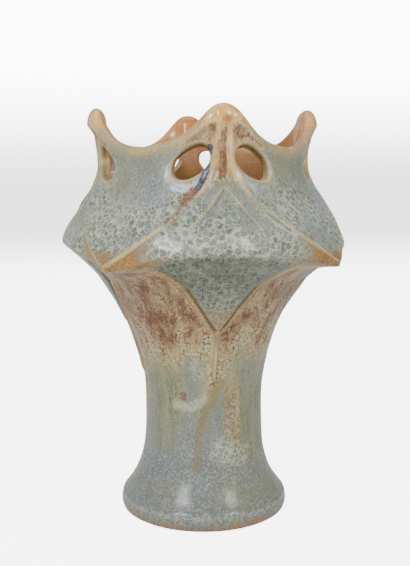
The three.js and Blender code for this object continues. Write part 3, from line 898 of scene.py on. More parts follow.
@dataclass
class SubAssembly:
    """Members that are shaped together: their skin, and how their pieces are cut and dressed."""

    form: VaseForm
    grid: Grid
    kinds: ClassVar[tuple[MemberKind, ...]] = ()

    def patches(self) -> list[Patch]:
        """Returns the patches of skin."""
        raise NotImplementedError

    def dress(self, skin: Skin, kind: MemberKind, glaze: bpy.types.Material) -> list[bpy.types.Object]:
        """Cuts the pieces of one kind out of the skin and dresses them.

        Args:
            skin: the closed skin of the vase.
            kind: which of its kinds.
            glaze: the glaze of that kind.

        Returns:
            The finished pieces.
        """
        things = []
        for name, quarter, nodes in kind.pieces():
            thing = skin.piece("glazed_" + name, kind.member, quarter)
            thing.data.materials.append(glaze)
            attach(thing, "root")
            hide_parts(*nodes)
            things.append(thing)
        return things


@dataclass
class ThrownBody(SubAssembly):
    """The thrown foot, stem and collar."""

    kinds: ClassVar[tuple[MemberKind, ...]] = (
        MemberKind(Member.FOOT, "foot", Slot.STEM),
        MemberKind(Member.STEM, "stem", Slot.STEM),
        MemberKind(Member.COLLAR, "collar", Slot.COLLAR, also="vein_%s"),
    )
    floor_rows: int = 10
    foot_rows: int = 20
    stem_rows: int = 32
    collar_rows: int = 52

    def columns(self, col: Array) -> Array:
        """Continues the columns of pendants and brackets.

        Args:
            col: column.

        Returns:
            Angle.
        """
        side = self.form.pendant_side_angle
        pendant = mix(-side, side, col / self.grid.pendant)
        bracket = mix(side, 90 - side, (col - self.grid.pendant) / self.grid.bracket)
        return np.where(col <= self.grid.pendant, pendant, bracket)

    def heights(self, row: Array) -> Array:
        """Spaces the rows above the floor.

        Args:
            row: row.

        Returns:
            Height.
        """
        r = row - self.floor_rows
        foot = mix(0, self.form.foot_join_height, clamp(r / self.foot_rows) ** 1.15)
        up = (r - self.foot_rows) / self.stem_rows
        above = (r - self.foot_rows - self.stem_rows) / self.collar_rows
        stem = mix(self.form.foot_join_height, self.form.stem_join_height, up)
        collar = mix(self.form.stem_join_height, self.form.collar_height, above)
        low = np.where(r <= self.foot_rows, foot, stem)
        return np.where(r <= self.foot_rows + self.stem_rows, low, collar)

    def place(self, col: Array, row: Array) -> Stations:
        """Places the skin of the thrown body.

        Args:
            col: column.
            row: row.

        Returns:
            Its stations.
        """
        form = self.form
        angle = self.columns(col)
        z = self.heights(row)
        share = clamp(row / self.floor_rows)
        base = row < self.floor_rows
        t = from_petal(np.abs(angle))
        relief = form.vein_relief(t, z)
        radius = form.thrown_radius(z) + relief
        outer_r = np.where(base, share * form.thrown_radius(np.zeros_like(z)), radius)
        outer_z = np.where(base, 0.0, z)
        corner_z = form.floor_thickness + form.stem_wall
        corner_r = float(form.thrown_radius(np.array(corner_z)) - form.stem_wall)
        low = ~base & (z < corner_z)
        bend = clamp(z / corner_z) * math.pi / 2
        bend_r = corner_r - form.stem_wall * (1 - np.sin(bend))
        bend_z = form.floor_thickness + form.stem_wall * (1 - np.cos(bend))
        inner_r = np.where(low, bend_r, form.thrown_radius(z) - form.thrown_wall(z))
        inner_z = np.where(low, bend_z, np.maximum(z, corner_z))
        inner_r = np.where(base, share * (corner_r - form.stem_wall), inner_r)
        inner_z = np.where(base, form.floor_thickness, inner_z)
        soft = np.where(np.abs(row - self.floor_rows) <= 1, 1.0, 0.0)
        beside = np.radians(t - form.pendant_angle(z)) * radius
        masks = self.masks(beside, z, outer_z, ~base, clamp(relief / form.border_proud))
        return Stations(angle, outer_r, outer_z, inner_r, inner_z, soft, masks)

    def masks(self, beside: Array, z: Array, outer_z: Array, wall: Array, border: Array) -> dict[Mask, Array]:
        """Lays the masks of the thrown body.

        Args:
            beside: distance from the edge of a pendant.
            z: height up the wall.
            outer_z: height, which is 0 under the foot.
            wall: whether a point is on the wall.
            border: height of the raised borders and veins, from 0 to 1.

        Returns:
            Each mask's values.
        """
        edge = bell(outer_z, 7.5) * wall
        band = (1 - smooth((beside - 2.4 - 4.5 * ramp_up(z, 150, 28)) / 1.6)) * ramp_up(z, 143, 4)
        line = bell(beside - 0.2, 1.0) * ramp_up(z, 146, 3)
        return {
            Mask.OCHRE: np.maximum.reduce([clamp(border * 4), band, edge * 0.85]),
            Mask.LINE: np.maximum(line, 0.5 * bell(border - 0.2, 0.15)),
            Mask.RUST: ramp_up(outer_z, 98, 68) * (1 - clamp(border * 1.5)) * (1 - band * 0.9),
            Mask.OLIVE: np.maximum(bell(outer_z - 98, 40.0), bell(outer_z - 24, 7.0) * 0.5),
            # Painted highlight along the rounded top of the foot band.
            Mask.PALE: bell(outer_z - 11.5, 1.2) * 0.6,
            # Painted shade round the foot band.
            Mask.DEEP: bell(outer_z - 8, 7.0) * 0.28,
            Mask.CREST: clamp(border) * 0.5,
        }

    def member(self, col: int, row: int) -> tuple[Member, int]:
        """Says which member a face belongs to.

        Args:
            col: column, which doesn't matter here.
            row: row.

        Returns:
            The member, and which quarter further on.
        """
        r = row - self.floor_rows
        if r < self.foot_rows:
            return Member.FOOT, 0
        return (Member.STEM if r < self.foot_rows + self.stem_rows else Member.COLLAR), 0

    def patches(self) -> list[Patch]:
        """Returns the thrown body's skin, which is one patch."""
        rows = self.floor_rows + self.foot_rows + self.stem_rows + self.collar_rows
        return [Patch(self.grid.petal, rows, self.place, self.member, downwards=False)]


@dataclass
class Crown(SubAssembly):
    """Petals, ribs, horns and webs, which meet along the ridges."""

    kinds: ClassVar[tuple[MemberKind, ...]] = (
        MemberKind(Member.PETAL, "petal_%s", Slot.PETAL),
        MemberKind(Member.WEB, "web_%s_right", Slot.PETAL),
        MemberKind(Member.STRAP, "horn_strap_%s", Slot.HORN),
    )
    hole_columns: tuple[int, int, int, int] = (0, 3, 24, 30)
    hole_rows: tuple[int, int, int, int] = (0, 6, 31, 38)
    hole_rings: int = 7  # rings of faces from the lip of a hole to the middle of the wall
    lip_rings: int = 4  # those of them that round the lip
    ring_width: float = 9.0  # how far round a hole the grid is bent
    hole_roll: float = 0.7  # how much the clay swells beside a hole
    ridge_near: float = 0.999  # share of the way to a ridge from which a point lies on it
    ridge_slant: float = 0.7  # across a sloping ridge, distance for each millimetre around the vase
    corner_rows: int = 24  # over which the wall grows towards a corner
    corner_wall: float = 3.0  # extra wall at the point of a corner
    corner_lift: float = 5.0  # rise of the inside at the point of a corner
    ridge_bead: float = 0.9
    fold_top: float = 247.0  # height where the folds of a petal begin
    fold_slope: float = 0.5  # degrees to the side for each millimetre down
    rim_roll: float = 0.8

    def ridge(self, k: Array) -> Pair:
        """Spaces the rows along a ridge, from the rim down to the corner.

        Args:
            k: row, below 0 over the rim.

        Returns:
            Angle and height.
        """
        form, grid = self.form, self.grid
        top = float(form.top_rung(form.ridge_angle(np.array(form.ridge_top))))
        rib_z = mix(top, form.rib_foot_height, clamp(k / grid.rib))
        angle = mix(form.rib_foot_angle, HALF, clamp((k - grid.rib) / grid.ridge))
        below = k > grid.rib
        z = np.where(below, form.ridge_height(angle), rib_z)
        return np.where(below, angle, form.ridge_angle(rib_z)), z

    def corner_share(self, k: Array) -> Array:
        """Returns how far each row has come towards the thick corner."""
        last = self.grid.rib + self.grid.ridge
        return smooth((k - last + self.corner_rows) / self.corner_rows)

    def inner_ridge(self, k: Array) -> Pair:
        """Shapes the inside behind a ridge.

        Args:
            k: row, below 0 over the rim.

        Returns:
            Radius and height.
        """
        form = self.form
        z = self.ridge(k)[1]
        share = self.corner_share(k)
        radius = form.ridge_radius(z) - form.crown_wall - self.corner_wall * share
        height = z + self.corner_lift * share
        lip = clamp((k - self.grid.rib - self.grid.ridge) / self.grid.lip)
        end_r, end_z = form.keel_inside(np.full_like(k, HALF))
        return mix(radius, end_r, lip), mix(height, end_z, lip)

    def cap(self, k: Array, radius: Array, wall: Array, z: Array, rise: Array) -> tuple[Array, ...]:
        """Carries the rows above the top rung over the rounded rim.

        Args:
            k: row, below 0 over the rim.
            radius: outer radius.
            wall: thickness.
            z: height.
            rise: height of the rounded rim.

        Returns:
            Outer radius, inner radius and height.
        """
        a = np.radians(90 * clamp(-k / self.grid.cap))
        middle = radius - wall / 2
        reach = wall / 2 * np.cos(a)
        lift = rise * np.sin(a)
        return middle + reach, middle - reach, z + lift

    def bead(self, t: Array, z: Array) -> Array:
        """Rolls a bead along a ridge.

        Args:
            t: angle from a petal's middle.
            z: height.

        Returns:
            How proud it stands.
        """
        edge = self.form.ridge_angle(z)
        steep = np.where(z >= self.form.rib_foot_height, 1.0, self.ridge_slant)
        distance = np.radians(t - edge) * self.form.ridge_radius(z) * steep
        return self.ridge_bead * bell(distance, 2.0) * (1 - self.form.horn_share(z))

    def crest(self, across: Array, t: Array, z: Array) -> Array:
        """Thins the glaze along a ridge, most near the corner and the rib, where the light crest is also a
        painted highlight.

        Args:
            across: distance from the ridge.
            t: angle from a petal's middle.
            z: height.

        Returns:
            The mask.
        """
        strength = 0.25 + 0.6 * np.maximum(ramp_up(t, 24, 6), ramp_up(z, 238, 8))
        width = mix(0.9, 1.5, ramp_up(z, 240, 12))
        share = bell(across / width, 1.0) * strength * (1 - self.form.horn_share(z))
        return share * (1 - 0.65 * ramp_up(z, 274, 12))

    def fold(self, t: Array, z: Array, radius: Array) -> tuple[Array, Array, Array]:
        """Folds a petal along two lines that run down from its rib.

        Args:
            t: angle from the middle of the petal.
            z: height.
            radius: outer radius.

        Returns:
            Height of the fold, a mask of its crest, which is partly a painted highlight, and a mask of
            painted shadow beside it.
        """
        down = self.fold_top - z
        line = down * self.fold_slope
        distance = np.radians(t - line) * radius * 0.85
        fade = smooth((down + 1) / 4) * (1 - ramp_up(down, 22, 9))
        crest = bell(distance, 1.0) * fade
        panel = smooth(-distance / 2.2) * fade
        return 1.0 * crest - 0.5 * panel, crest, bell(distance + 1.7, 1.0) * fade

    def rim_crest(self, t: Array, z: Array) -> Array:
        """Returns the mask of the thin glaze on the rounded rim."""
        return 0.6 * bell(self.form.top_rung(t) - z + 2.5, 3.0) * (1 - 0.6 * ramp_up(z, 280, 10))

    def rim(self, t: Array, z: Array) -> Array:
        """Returns the slight outward roll below the rim."""
        return self.rim_roll * bell(self.form.top_rung(t) - z - 0.5, 3.5)

    def ridge_distance(self, t: Array, z: Array) -> Array:
        """Returns the distance across the nearest ridge."""
        z = np.minimum(z, self.form.ridge_top)
        return np.radians(t - self.form.ridge_angle(z)) * self.form.ridge_radius(z) * self.ridge_slant

    def keel_angle(self, j: Array) -> Array:
        """Spaces the columns along the keel.

        Args:
            j: column, counted from the middle of a petal.

        Returns:
            Angle.
        """
        inside, half = self.grid.pendant / 2, self.grid.petal // 2
        outside = mix(self.form.bracket_angle, HALF, (j - inside) / (half - inside))
        return np.where(j <= inside, self.form.bracket_angle * j / inside, outside)

    def petal_place(self, col: Array, row: Array) -> Stations:
        """Places the skin of a petal with its rib and horn.

        Args:
            col: column.
            row: row.

        Returns:
            Its stations.
        """
        form, grid = self.form, self.grid
        half = grid.petal // 2
        j = col - half
        k = row - grid.cap
        keel_t = self.keel_angle(np.abs(j))
        u = keel_t / HALF
        ridge_t, ridge_z = self.ridge(np.maximum(k, 0))
        corner = grid.rib + grid.ridge
        last = corner + grid.lip
        lip = clamp((k - corner) / grid.lip)
        edge_z = np.where(k > corner, mix(form.ridge_end, form.corner_height, lip), ridge_z)
        t = u * ridge_t
        on_rib = k <= grid.rib
        share = between(k, grid.rib, last)
        top = float(form.top_rung(np.array(0.0)))
        rib_z = mix(top, form.rib_foot_height, clamp(k / grid.rib))
        middle = np.where(on_rib, rib_z, mix(form.rib_foot_height, form.keel_height, share))
        keel_z = form.keel(keel_t)[1]
        keel_share = (form.keel_height - keel_z) / (form.keel_height - form.corner_height)
        z = mix(middle, edge_z, mix(u * u, keel_share, smooth(share)))
        z = np.where(k <= 0, form.top_rung(t), z)
        radius = np.where(on_rib, form.crown_radius(t, z), form.petal_radius(t, z))
        edge_r = np.where(lip > 0, form.corner_radius, form.ridge_radius(edge_z))
        radius = np.where((u >= self.ridge_near) & ~on_rib, edge_r, radius)
        wall = form.crown_thickness(t, z)
        behind = form.petal_inside(t, np.maximum(z, form.keel_inside(t)[1]))
        inner_r = np.where(on_rib, form.crown_radius(t, z) - wall, behind)
        low = between(share, 0.5, 1.0)
        inner_z = np.where(on_rib, z, z + (form.keel_inside(keel_t)[1] - keel_z) * low)
        ridge_in_r, ridge_in_z = self.inner_ridge(k)
        side = np.where(on_rib | ((k >= last) & (u < self.ridge_near)), 0.0, ramp_up(u, 0.6, 0.4))
        inner_r, inner_z = mix(inner_r, ridge_in_r, side), mix(inner_z, ridge_in_z, side)
        fold, fold_crest, fold_shade = self.fold(t, z, radius)
        bead = self.bead(t, z) * (1 - smooth(lip)) + self.rim(t, z) + fold
        outer_r, cap_r, outer_z = self.cap(k, radius + bead, wall + bead, z, form.cap_rise(t))
        inner_r = np.where(k < 0, cap_r, inner_r)
        inner_z = np.where(k < 0, outer_z, inner_z)
        near_ridge = (half - np.abs(j) <= 3) & (k > grid.rib - 8)
        soft = np.maximum(np.where(near_ridge, SOFT, 0.0), beside_edge(last - k))
        masks = self.petal_masks(k, t, z, z - keel_z, ridge_t)
        # The fold's crest is partly a painted highlight, and the dark line beside it is painted shadow.
        masks[Mask.CREST] = np.maximum(masks[Mask.CREST], fold_crest * 0.7) + self.rim_crest(t, z)
        masks[Mask.LINE] = fold_shade * 0.5
        return Stations(np.sign(j) * t, outer_r, outer_z, inner_r, inner_z, soft, masks)

    def petal_masks(self, k: Array, t: Array, z: Array, keel_up: Array, ridge_t: Array) -> dict[Mask, Array]:
        """Lays the masks of a petal, apart from its folds.

        Args:
            k: row, below 0 over the rim.
            t: angle from the middle of the petal.
            z: height.
            keel_up: height above the keel.
            ridge_t: angle of the ridge.

        Returns:
            Each mask's values.
        """
        ridge_mm = self.ridge_distance(t, z)
        ridge_mask = bell(ridge_mm, 2.2)
        across = t / np.maximum(ridge_t, 1e-3)
        groove = ramp_down(across, 0.52, 0.2) * ramp_up(z, 246, 8) * (1 - ramp_up(z, 281, 8))
        tip = ramp_up(t, 23, 17) * ramp_down(z, 221, 14)
        keel_near = ramp_down(z, 224, 12) * smooth((keel_up + 1) / 4) * (1 - tip)
        edge = ridge_mask * ramp_up(t, 20, 16) * 0.8
        petal = ramp_down(z, 249, 14) * (1 - 0.6 * bell(ridge_mm, 6.0)) * (1 - tip)
        return {
            Mask.OCHRE: np.maximum.reduce([edge, tip, ramp_up(z, 244, 10) * 0.6]),
            Mask.HORN: np.maximum(ramp_up(z, 254, 10), ridge_mask * 0.6 * ramp_up(z, 234, 10)),
            Mask.RUST: groove,
            # Lighter net along the keel, partly a painted highlight.
            Mask.CELLS: petal * mix(0.7, 1.0, keel_near),
            Mask.PALE: keel_near * 0.5,
            # Painted shade at the corner tip.
            Mask.DEEP: 0.3 * tip,
            Mask.INSIDE: clamp(-k / self.grid.cap * 0.3),
            Mask.CREST: self.crest(ridge_mm, ridge_t, z),
            Mask.OLIVE: np.maximum.reduce([bell(ridge_mm, 9.0), ramp_up(z, 232, 14), tip]) * 0.75,
        }

    def petal_member(self, col: int, row: int) -> tuple[Member, int]:
        """Returns the member that a face of a petal's patch belongs to."""
        return (Member.STRAP if row - self.grid.cap < self.grid.rib else Member.PETAL), 0

    def web_base(self, col: Array, k: Array) -> Pair:
        """Places a web before its holes are opened.

        Args:
            col: column.
            k: row, below 0 over the rim.

        Returns:
            Angle and height.
        """
        form, grid = self.form, self.grid
        k = np.maximum(k, 0)
        x = col / grid.web
        ridge_t, ridge_z = self.ridge(k)
        angle = mix(ridge_t, 90 - ridge_t, x)
        t = from_petal(angle)
        r = clamp(k / (grid.rib + grid.ridge))
        saddle = float(form.top_rung(np.array(HALF)))
        middle = mix(saddle, form.ridge_end, r)
        first = float(self.ridge(np.zeros(1))[0][0])
        top = float(form.top_rung(np.array(first)))
        across = mix(first, 90 - first, x)
        rim_shape = (form.top_rung(np.minimum(across, 90 - across)) - top) / (saddle - top)
        shape = mix(rim_shape, 4 * x * (1 - x), smooth(r * 1.3))
        z = mix(ridge_z, middle, shape)
        return angle, np.where(k <= 0, form.top_rung(t), z)

    def hole_outline(self, phi: Array, grow: Array) -> Pair:
        """Draws a hole's outline.

        Args:
            phi: direction from the middle of the hole.
            grow: how much larger it is drawn.

        Returns:
            Angle and height.
        """
        form = self.form
        narrowing = 1 - form.hole_point * np.maximum(0, np.sin(phi))
        x = (form.hole_half_width + grow) * np.cos(phi) * narrowing
        z = (form.hole_half_height + grow) * np.sin(phi)
        side = np.degrees((x - form.hole_slant * z) / form.neck_radius)
        return form.hole_angle + side, form.neck_height + z

    def hole_distance(self, t: Array, z: Array) -> Array:
        """Measures from a hole's outline.

        Args:
            t: angle from a petal's middle.
            z: height.

        Returns:
            How far outside it a place is.
        """
        form = self.form
        up = z - form.neck_height
        side = np.radians(t - form.hole_angle) * form.neck_radius + form.hole_slant * up
        narrowing = 1 - form.hole_point * clamp(up / form.hole_half_height)
        share = np.hypot(side / (form.hole_half_width * narrowing), up / form.hole_half_height)
        return np.hypot(side, up) * (1 - 1 / np.maximum(share, 0.2))

    def open_hole(self, col: Array, k: Array, angle: Array, z: Array) -> tuple[Array, ...]:
        """Wraps the grid beside a rib around its hole.

        Args:
            col: column, counted from the rib.
            k: row.
            angle: angle of each point before.
            z: height of each point before.

        Returns:
            Angle, height, depth below the outer skin, distance from the lip, and drop of the inside.
        """
        form = self.form
        c0, c1, c2, c3 = self.hole_columns
        r0, r1, r2, r3 = self.hole_rows
        cx, cy = (c1 + c2) / 2, (r1 + r2) / 2
        hw, hh = (c2 - c1) / 2, (r2 - r1) / 2
        dx, dy = col - cx, k - cy
        wide = np.where(dx < 0, cx - c0, c3 - cx)
        tall = np.where(dy < 0, cy - r0, r3 - cy)
        sx = (np.abs(dx) - hw) / (wide - hw)
        sy = (np.abs(dy) - hh) / (tall - hh)
        s = np.maximum(sx, sy)
        region = (col >= c0) & (col <= c3) & (k >= r0) & (k <= r3)
        ring = region & (s >= 0) & (s <= 1)
        e = clamp(s)
        half_w = mix(hw, wide, e)
        half_h = mix(hh, tall, e)
        px, py = dx / half_w, dy / half_h
        phi = np.arctan2(-py, px)
        outline_t, outline_z = self.hole_outline(phi, np.full_like(phi, form.hole_lip))
        edge_t, edge_z = self.web_base(cx + px * wide, cy + py * tall)
        new_t = np.where(ring, mix(outline_t, edge_t, e), angle)
        new_z = np.where(ring, mix(outline_z, edge_z, e), z)
        q = np.minimum(hw - np.abs(dx), hh - np.abs(dy))
        tunnel = region & (s < 0) & (q <= self.hole_rings + 0.01)
        tw, th = np.maximum(hw - q, 0.5), np.maximum(hh - q, 0.5)
        phi_in = np.arctan2(-dy / th, dx / tw)
        a = clamp(q / self.lip_rings) * math.pi / 2
        grow = form.hole_lip * (1 - np.sin(a))
        tunnel_t, tunnel_z = self.hole_outline(phi_in, grow)
        new_t = np.where(tunnel, tunnel_t, new_t)
        new_z = np.where(tunnel, tunnel_z, new_z)
        depth = np.where(tunnel, form.hole_lip * (1 - np.cos(a)), 0.0)
        deep = clamp((q - self.lip_rings) / (self.hole_rings - self.lip_rings))
        half_wall = form.crown_wall / 2
        depth = np.where(tunnel, mix(depth, half_wall, deep), depth)
        distance = np.where(ring, e * self.ring_width, np.where(tunnel, 0.0, math.inf))
        above = np.where(tunnel, np.maximum(0, np.sin(phi_in)), 0.0)
        over = np.where(ring, (1 - e) * np.maximum(0, np.sin(phi)), above)
        return new_t, new_z, depth, distance, form.hole_lintel * over

    def web_place(self, col: Array, row: Array) -> Stations:
        """Places the skin of a web between two ribs, with a hole at each end.

        Args:
            col: column.
            row: row.

        Returns:
            Its stations.
        """
        form, grid = self.form, self.grid
        k = row - grid.cap
        angle, z = self.web_base(col, k)
        mirrored = col > grid.web / 2
        near = np.where(mirrored, grid.web - col, col)
        t, z, depth, distance, drop = self.open_hole(near, k, np.where(mirrored, 90 - angle, angle), z)
        angle = np.where(mirrored, 90 - t, t)
        t = from_petal(t)
        wall = form.crown_thickness(t, z)
        swell = self.hole_roll * bell(distance - 2.0, 2.6) * smooth((self.ring_width - distance) / 3)
        bead = self.bead(t, z) * smooth(distance / 3) + self.rim(t, z) + swell
        skin = form.crown_radius(t, z)
        thick = self.corner_share(k)
        outer_r, cap_r, outer_z = self.cap(k, skin + bead, wall + bead, z, form.cap_rise(t))
        sunk = depth * wall / form.crown_wall
        outer_r = outer_r - sunk - bead * (depth > 0) * clamp(depth / (form.crown_wall / 2))
        inner_r = np.where(k < 0, cap_r, skin - wall + sunk) - self.corner_wall * thick
        through = depth / form.crown_wall
        inner_z = np.where(k < 0, outer_z, z) + self.corner_lift * thick - drop * (1 - through)
        outer_z = outer_z - drop * through
        beside_ridge = (np.minimum(col, grid.web - col) <= 1) & (k > grid.rib - 8)
        beside_corner = grid.rib + grid.ridge - k <= 5
        soft = np.where(beside_ridge | beside_corner, SOFT, 0.0)
        masks = self.web_masks(k, t, z, depth, drop)
        return Stations(angle, outer_r, outer_z, inner_r, inner_z, soft, masks)

    def web_masks(self, k: Array, t: Array, z: Array, depth: Array, drop: Array) -> dict[Mask, Array]:
        """Lays the masks of a web and of its holes.

        Args:
            k: row, below 0 over the rim.
            t: angle from the middle of the nearer petal.
            z: height.
            depth: depth below the outer skin, inside a hole.
            drop: how much lower the inside is, over a hole.

        Returns:
            Each mask's values.
        """
        form = self.form
        ridge_mm = self.ridge_distance(t, z)
        ridge_mask = bell(ridge_mm, 2.2)
        away = self.hole_distance(t, z)
        below_rim = form.top_rung(t) - z
        rim_mask = ramp_down(below_rim, 5.5, 5)
        high = ramp_up(z, 276, 12)
        lip = np.maximum(bell(away - 1.0, 2.2), depth > 0)
        near_rib = ramp_down(t, 14, 5)
        tip = ramp_down(z, 209, 14)
        above = ramp_up(z, 257, 8) * ramp_up(below_rim, 0.5, 3) * ramp_down(t, 24, 8)
        rib_foot = near_rib * ramp_up(z, 240, 14) * 0.6
        below_hole = bell(away - 2.5, 3.0) * 0.35 * (1 - ramp_up(z, 262, 8)) * (1 - clamp(depth))
        crest = np.maximum(self.crest(ridge_mm, t, z), bell(away - 0.9, 0.8) * 0.75)
        green = np.maximum.reduce([0.6 * ramp_up(z, 240, 18), 0.5 * ridge_mask, 0.7 * tip])
        return {
            Mask.OCHRE: np.maximum.reduce([rim_mask * 0.6, rib_foot, tip * 0.9, lip * 0.45]),
            Mask.HORN: np.maximum(high, rim_mask * 0.15) * (1 - 0.7 * above),
            Mask.RUST: clamp(above * 1.7) * (1 - bell(away - 1.0, 1.4)),
            Mask.CELLS: mix(0.72, 0.1, ramp_up(z, 232, 22)) * (1 - high) * (1 - lip),
            Mask.INSIDE: clamp(-k / self.grid.cap * 0.3),
            Mask.PALE: np.maximum(below_hole, 0.4 * bell(z - 226, 11.0)),
            # Painted shade deep in the holes and at the corner tip.
            Mask.DEEP: np.maximum(clamp((depth - 1.2) / 2.5) * 0.9, 0.3 * tip),
            # Painted shadow under the top of a hole's tunnel.
            Mask.LINE: 0.85 * clamp((depth - 1.3) / 2.2) * smooth(drop * 2 / form.hole_lintel),
            Mask.OLIVE: green * (1 - lip * 0.5),
            Mask.CREST: crest + self.rim_crest(t, z) + rim_mask * 0.3,
        }

    def web_member(self, col: int, row: int) -> tuple[Member, int] | None:
        """Says which member a face of a web's patch belongs to.

        Args:
            col: column.
            row: row.

        Returns:
            The member and which quarter further on, or None in a hole.
        """
        k = row - self.grid.cap
        near = min(col, self.grid.web - 1 - col)
        _, c1, c2, c3 = self.hole_columns
        _, r1, r2, r3 = self.hole_rows
        if near >= c3 or k >= r3:
            return Member.WEB, 0
        rings = self.hole_rings
        if c1 + rings <= near < c2 - rings and r1 + rings <= k < r2 - rings:
            return None
        return Member.STRAP, int(col > self.grid.web / 2)

    def patches(self) -> list[Patch]:
        """Lays out the crown.

        Returns:
            Its patches of skin.
        """
        grid = self.grid
        rows = grid.cap + grid.rib + grid.ridge
        return [
            Patch(grid.petal, rows + grid.lip, self.petal_place, self.petal_member),
            Patch(grid.web, rows, self.web_place, self.web_member),
        ]


@dataclass
class Shoulder(SubAssembly):
    """Pendants and brackets below the keel."""

    kinds: ClassVar[tuple[MemberKind, ...]] = (
        MemberKind(Member.PENDANT, "pendant_%s", Slot.PETAL),
        MemberKind(Member.BRACKET, "bracket_%s_right", Slot.HORN),
    )
    edge_round: float = 2.4  # how far in from its side a pendant is rounded
    edge_droop: float = 0.35  # how far its side hangs for each millimetre that it stands proud
    leaf_sink: float = 0.25  # how far the edge of the leaf sinks into the collar
    leaf_back: float = 0.5  # how far behind the collar's surface the leaf's inside lies

    def fall(self, row: Array) -> Array:
        """Returns how far each row is from the keel to the collar, closer together at the keel."""
        return clamp(row / self.grid.under) ** 1.25

    def pendant_place(self, col: Array, row: Array) -> Stations:
        """Places the skin of a pendant: its shoulder and the leaf on the collar.

        Args:
            col: column.
            row: row.

        Returns:
            Its stations.
        """
        form, grid = self.form, self.grid
        u = col / (grid.pendant / 2) - 1
        a = np.abs(u)
        w = self.fall(row)
        leaf = row > grid.under
        f = clamp((row - grid.under) / grid.leaf)
        leaf_z = mix(form.collar_height, form.pendant_tip_height, f)
        leaf_r = form.thrown_radius(leaf_z)
        side = np.where(leaf, form.pendant_angle(leaf_z), form.pendant_side(w))
        edge_r, edge_z = form.under_outside(np.full_like(w, form.bracket_angle), w)
        mid_r, mid_z = form.pendant_spine(w)
        width = np.radians(side) * np.where(leaf, leaf_r, edge_r)
        rounded = np.sqrt(np.maximum(0, 1 - (1 - clamp((1 - a) * width / self.edge_round)) ** 2))
        across = a * a
        step = form.pendant_edge_proud * smooth(w * 4) * rounded * across
        keel_r, keel_z = form.keel(a * form.bracket_angle)
        radius = np.where(row == 0, keel_r, mix(mid_r, edge_r, across) + step)
        height = np.where(row == 0, keel_z, mix(mid_z, edge_z, across) - step * self.edge_droop)
        proud = mix(form.pendant_proud, form.pendant_edge_proud, across) * mix(1, 0.75, f)
        radius = np.where(leaf, leaf_r + (proud * rounded - self.leaf_sink * (1 - rounded)), radius)
        height = np.where(leaf, leaf_z, height)
        inner_r, inner_z = form.under_inside(a * form.bracket_angle, w)
        inner_r = np.where(leaf, leaf_r - self.leaf_back, inner_r)
        inner_z = np.where(leaf, leaf_z, inner_z)
        edge_mm = (1 - a) * width
        ends = smooth((a * form.bracket_angle - 14) / 16) * (1 - smooth(w * 3.5))
        masks = {
            Mask.CELLS: 1.0 - 0.9 * bell(edge_mm, 4.5),
            Mask.OLIVE: 0.6 * bell(edge_mm, 9.0) + 0.3 * f,
            Mask.LINE: bell(edge_mm, 1.3) * smooth(w * 3),
            # Paler near the keel, partly a painted highlight, and paler on the leaf.
            Mask.PALE: np.maximum((1 - smooth(w * 5)) * 0.6, 0.45 * f),
            # Painted shade on the pendant's shoulder under the keel, fading down the leaf.
            Mask.DEEP: smooth(w * 4) * mix(1.0, 0.1, f),
            Mask.OCHRE: np.maximum(ends * 0.75, 0.44 * ramp_up(f, 0.15, 0.7)),
        }
        return Stations(u * side, radius, height, inner_r, inner_z, beside_edge(row), masks)

    def bracket_place(self, col: Array, row: Array) -> Stations:
        """Places the skin of a bracket between two pendants.

        Args:
            col: column.
            row: row.

        Returns:
            Its stations.
        """
        form, grid = self.form, self.grid
        x = col / grid.bracket
        w = self.fall(row)
        side = form.pendant_side(w)
        angle = mix(side, 90 - side, x)
        t = from_petal(mix(form.bracket_angle, 90 - form.bracket_angle, x))
        radius, height = form.under_outside(t, w)
        edge_mm = np.radians(np.minimum(angle, 90 - angle) - side) * radius
        width = form.border_width + form.border_spread + 3 * (1 - w)
        border = form.border(edge_mm - width / 2, width) * smooth(w * 3)
        radius = radius + form.border_proud * border
        inner_r, inner_z = form.under_inside(t, w)
        near_keel = 1 - ramp_up(w, 0.16, 0.22)
        band = 1 - ramp_up(edge_mm, 6.9, 1.6)
        masks = {
            Mask.OCHRE: np.maximum(band, near_keel),
            Mask.RUST: (1 - band) * (1 - near_keel),
            Mask.LINE: bell(edge_mm - 0.2, 1.0) * smooth(w * 3),
            Mask.CREST: border * 0.5,
        }
        return Stations(angle, radius, height, inner_r, inner_z, beside_edge(row), masks)

    def patches(self) -> list[Patch]:
        """Lays out the shoulder.

        Returns:
            Its patches of skin.
        """
        grid = self.grid
        return [
            Patch(grid.pendant, grid.under + grid.leaf, self.pendant_place, lambda c, r: (Member.PENDANT, 0)),
            Patch(grid.bracket, grid.under, self.bracket_place, lambda c, r: (Member.BRACKET, 0)),
        ]


def tone(red: int, green: int, blue: int) -> tuple[float, float, float, float]:
    """Turns a screen colour into the linear colour that a shader takes.

    Args:
        red: 0 to 255.
        green: 0 to 255.
        blue: 0 to 255.

    Returns:
        The colour, with full cover.
    """
    def linear(c: int) -> float:
        """Returns one channel as a share of light."""
        f = c / 255
        return f / 12.92 if f <= 0.04045 else ((f + 0.055) / 1.055) ** 2.4

    return linear(red), linear(green), linear(blue), 1.0


class Socket(Enum):
    """Kinds of sockets on a shared effect."""

    VALUE = "NodeSocketFloat"
    COLOR = "NodeSocketColor"
    VECTOR = "NodeSocketVector"


